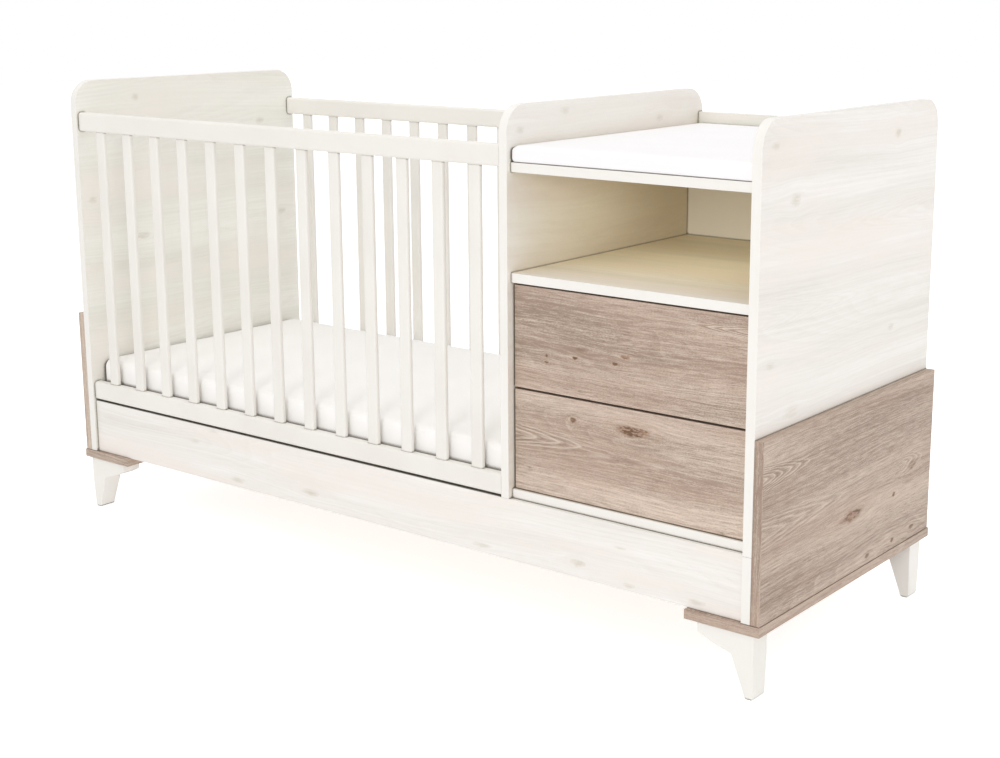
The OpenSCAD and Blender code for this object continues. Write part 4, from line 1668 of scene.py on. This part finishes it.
@dataclass
class Changer:
    """The changer's sides, boards, thin back, guard and fittings."""

    palette: Palette
    corner: float = 50 * MM
    # The width of the box for the painted warm bounce shade inside.
    hollow: float = 0.45

    def build(self) -> None:
        """Builds every board of the changer."""
        white, band = self.palette.white, self.palette.band.coating("changer_band")
        radii = (0.0, 0.0, self.corner, self.corner)
        # A lighter copy of the white decor for the divider, with a stronger painted warm bounce
        # shade inside the box: painted light and shade.
        light = replace(white, name="divider_lit_decor", pale=paint(249, 247, 242),
                        dark=paint(240, 237, 230), painted_bounce_tone=paint(228, 216, 184))
        face = light.board("divider", Grain(Axis.Y, Axis.Z, 17.2), (
            Knot(-0.149, 0.964, 0.014, 0.006, 0.4), Knot(0.168, 0.931, 0.012, 0.007, 0.5),
            Knot(-0.283, 0.937, 0.012, 0.006, 0.4)), hollow=self.hollow)
        BoardPiece("divider_panel", Axis.X, face, band, corners=radii).build()
        face = white.board("right_side", Grain(Axis.Y, Axis.Z, 7.9), (
            Knot(-0.285, 0.939, 0.014, 0.006, 0.5), Knot(0.159, 0.930, 0.012, 0.009, 0.6),
            Knot(-0.214, 0.845, 0.016, 0.010, 0.55), Knot(0.162, 0.571, 0.012, 0.006, 0.55),
            Knot(-0.284, 0.578, 0.014, 0.006, 0.4), Knot(-0.208, 0.484, 0.024, 0.009, 0.4)),
            (Arches(0.06, 0.655, 0.30, 0.028, count=6.0, depth=0.22),
             Arches(-0.10, 0.780, 0.34, 0.030, way=-1.0, count=5.0, depth=0.2)),
            hollow=self.hollow)
        BoardPiece("right_side_panel", Axis.X, face, band, corners=radii).build()
        for node, seed in (("changer_top", 23.0), ("open_shelf", 27.4), ("changer_bottom", 29.9)):
            face = white.board(node, Grain(Axis.X, Axis.Y, seed), hollow=self.hollow)
            BoardPiece(node, Axis.Z, face, band, keep_cuts=True).build()
        # The guard's darker decor is painted shade.
        face = self.palette.painted_shade_white.board("guard", Grain(Axis.X, Axis.Z, 33.0), reach=0.007)
        BoardPiece("back_guard", Axis.Y, face, band, arris=1.2 * MM).build()
        back = self.palette.fibre.coating("changer_back", self.hollow)
        BoardPiece("changer_back", Axis.Y, back, back, slot="thin_back", arris=0.4 * MM).build()
        dress_node("cabinet_cams", self.palette.zinc.plate("cabinet_cams"))


@dataclass
class Drawer:
    """One drawer: a brown front on a coated box, with its slides."""

    palette: Palette
    decor: Decor
    level: str
    seed: float
    knots: tuple[Knot, ...] = ()
    arches: tuple[Arches, ...] = ()

    def build(self) -> None:
        """Builds the front, the box and the slides."""
        body = f"{self.level}_drawer"
        brown = self.decor
        face = brown.board(f"{self.level}_front", Grain(Axis.X, Axis.Z, self.seed), self.knots,
                           self.arches)
        band = brown.board(f"{self.level}_front_band", Grain(Axis.X, Axis.Y, self.seed + 3.0))
        BoardPiece(f"{self.level}_front", Axis.Y, face, band, body, "brown_board",
                   arris=0.9 * MM).build()
        coat = self.palette.coated.coating(f"{self.level}_box")
        for side in ("left_side", "right_side"):
            BoardPiece(f"{self.level}_{side}", Axis.X, coat, coat, body, "drawer_board",
                       keep_cuts=True).build()
        for part, thin in (("back", Axis.Y), ("bottom", Axis.Z)):
            BoardPiece(f"{self.level}_{part}", thin, coat, coat, body, "drawer_board",
                       arris=0.5 * MM).build()
        steel = self.palette.steel.plate(f"{self.level}_slides")
        for part in ("outer", "middle", "inner"):
            for side in ("left", "right"):
                dress_node(f"{self.level}_{part}_{side}", steel)
        dress_node(f"{self.level}_cams", self.palette.zinc.plate(f"{self.level}_cams"))


@dataclass(frozen=True)
class Lamp:
    """A soft square lamp, in metres, with its power in watts and its beam in degrees."""

    name: str
    spot: tuple[float, float, float]
    target: tuple[float, float, float]
    size: float
    power: float
    spread: float = 180.0
    mirrored: bool = True


LAMPS = (
    Lamp("front", spot=(2.70, -6.30, 2.05), target=(0.0, 0.0, 0.5), size=1.8, power=113.0),
    Lamp("side", spot=(3.2, 0.2, 0.62), target=(0.88, 0.0, 0.4), size=1.2, power=7.5),
    Lamp("top", spot=(0.0, 0.2, 4.2), target=(0.0, 0.0, 0.0), size=3.6, power=42.0),
    Lamp("compartment_card", spot=(0.609, -0.11, 0.858), target=(0.609, -0.11, 0.0), size=0.34,
         power=0.25, mirrored=False),
    Lamp("low_card", spot=(-0.15, -0.22, 0.07), target=(-0.80, -0.29, 0.06), size=0.10,
         power=0.036, spread=30.0, mirrored=False),
)


@dataclass(frozen=True)
class Studio:
    """Camera, pale floor and soft light."""

    eye: tuple[float, float, float] = (2.18415, -2.57997, 1.19128)
    turn: float = 0.65028
    tilt: float = -0.21595
    focal: float = 58.863
    shift_x: float = -0.0559
    shift_y: float = -0.0361
    sensor: float = 36.0
    far: float = 100.0
    floor_size: float = 30.0
    floor_paint: tuple = paint(246, 246, 246)
    floor_glow: float = 0.70
    ambient: float = 0.75

    def build(self) -> None:
        """Makes everything around the object."""
        self.camera()
        self.floor()
        self.world()
        for lamp in LAMPS:
            self.hang(lamp)
        bpy.context.scene.view_settings.view_transform = "Standard"

    def camera(self) -> None:
        """Places the camera where the photograph was taken."""
        data = bpy.data.cameras.new("camera")
        data.lens = self.focal
        data.sensor_width = self.sensor
        data.shift_x = self.shift_x
        data.shift_y = self.shift_y
        data.clip_end = self.far
        made = bpy.data.objects.new("camera", data)
        made.matrix_world = (Matrix.Translation(self.eye) @ Matrix.Rotation(self.turn, 4, "Z")
                             @ Matrix.Rotation(math.pi / 2 + self.tilt, 4, "X"))
        bpy.context.scene.collection.objects.link(made)
        bpy.context.scene.camera = made

    def seen_only(self, graph: Graph) -> Socket:
        """Tells the rays that see from the rays that light.

        Args:
            graph: The material's or the world's graph.

        Returns:
            1 for rays from the camera and through mirrors or glass, else 0.
        """
        path = graph.add("ShaderNodeLightPath")
        shiny = graph.most(path.outputs["Is Glossy Ray"], path.outputs["Is Transmission Ray"])
        return graph.most(path.outputs["Is Camera Ray"], shiny)

    def floor(self) -> None:
        """The pale floor, white to the camera but for the object's shadow."""
        shape = bmesh.new()
        bmesh.ops.create_grid(shape, x_segments=2, y_segments=2, size=self.floor_size / 2)
        made = from_bmesh("floor", shape)
        material = bpy.data.materials.new("floor_paper")
        material.use_nodes = True
        graph = Graph(material.node_tree)
        graph.tree.nodes.clear()
        base = graph.add("ShaderNodeBsdfDiffuse", {"Color": self.floor_paint})
        glow = graph.add("ShaderNodeEmission", {"Color": WHITE})
        graph.feed(glow.inputs["Strength"], graph.times(self.seen_only(graph), self.floor_glow))
        both = graph.add("ShaderNodeAddShader", {0: base.outputs[0], 1: glow.outputs[0]})
        graph.add("ShaderNodeOutputMaterial", {0: both.outputs[0]})
        set_materials(made, material)

    def world(self) -> None:
        """White behind everything and a low even light on the object."""
        world = bpy.data.worlds.new("studio")
        bpy.context.scene.world = world
        world.use_nodes = True
        graph = Graph(world.node_tree)
        graph.tree.nodes.clear()
        strength = graph.span(self.seen_only(graph), 0.0, 1.0, self.ambient, 1.0, smooth=False)
        light = graph.add("ShaderNodeBackground", {"Color": WHITE, "Strength": strength})
        graph.add("ShaderNodeOutputWorld", {0: light.outputs[0]})

    def hang(self, lamp: Lamp) -> None:
        """Adds a lamp that points at its target.

        Args:
            lamp: The lamp.
        """
        data = bpy.data.lights.new(lamp.name, "AREA")
        data.shape = "SQUARE"
        data.size = lamp.size
        data.energy = lamp.power
        data.spread = math.radians(lamp.spread)
        made = bpy.data.objects.new(lamp.name, data)
        way = Vector(lamp.target) - Vector(lamp.spot)
        turn = way.to_track_quat("-Z", "Y").to_matrix().to_4x4()
        made.matrix_world = Matrix.Translation(lamp.spot) @ turn
        made.visible_camera = False
        made.visible_glossy = lamp.mirrored
        bpy.context.scene.collection.objects.link(made)


def main() -> None:
    """Builds the studio and every sub-assembly in order."""
    logging.basicConfig(level=logging.INFO, format="%(message)s")
    Studio().build()
    palette = Palette()
    bars = BarTree()
    LowFrame(palette, bars).build()
    SlattedSides(palette, bars).build()
    SoftBlock("mattress_cover", "mattress", palette.cotton, pitch=12 * MM, start_in=-1.5 * MM,
              swell=3.5 * MM, edge=6 * MM, rise=3 * MM, pull=0.6 * MM, fill=0.8,
              corner=13 * MM).build()
    Changer(palette).build()
    SoftBlock("changing_pad_cover", "changing_pad", palette.wipeable, pitch=6 * MM,
              start_in=-2.0 * MM, swell=1.5 * MM, edge=7 * MM, edge_low=2 * MM,
              rise=1.5 * MM, pull=0.6 * MM, fill=0.7, pressure=3.0, corner=5 * MM).build()
    Drawer(palette, palette.brown_banded, "upper", 41.0, (
        Knot(0.4325, 0.5375, 0.003, 0.004, 0.9), Knot(0.4325, 0.5275, 0.005, 0.003, 0.9),
        Knot(0.496, 0.542, 0.006, 0.0035, 1.0), Knot(0.513, 0.558, 0.016, 0.005, 0.35),
        Knot(0.583, 0.5435, 0.006, 0.0035, 1.0), Knot(0.604, 0.558, 0.010, 0.004, 0.9)),
        (Arches(0.735, 0.634, 0.16, 0.013, way=-1.0, count=5.0, depth=1.0),
         Arches(0.79, 0.606, 0.12, 0.008, way=-1.0, count=3.0, depth=0.6))).build()
    Drawer(palette, palette.brown_light, "lower", 47.0, (
        Knot(0.492, 0.4275, 0.007, 0.006, 0.9), Knot(0.622, 0.427, 0.034, 0.011, 1.0)),
        (Arches(0.522, 0.381, 0.16, 0.020, count=3.0, depth=1.0),
         Arches(0.70, 0.372, 0.34, 0.022, count=3.0, depth=0.45))).build()


if __name__ == "__main__":
    main()
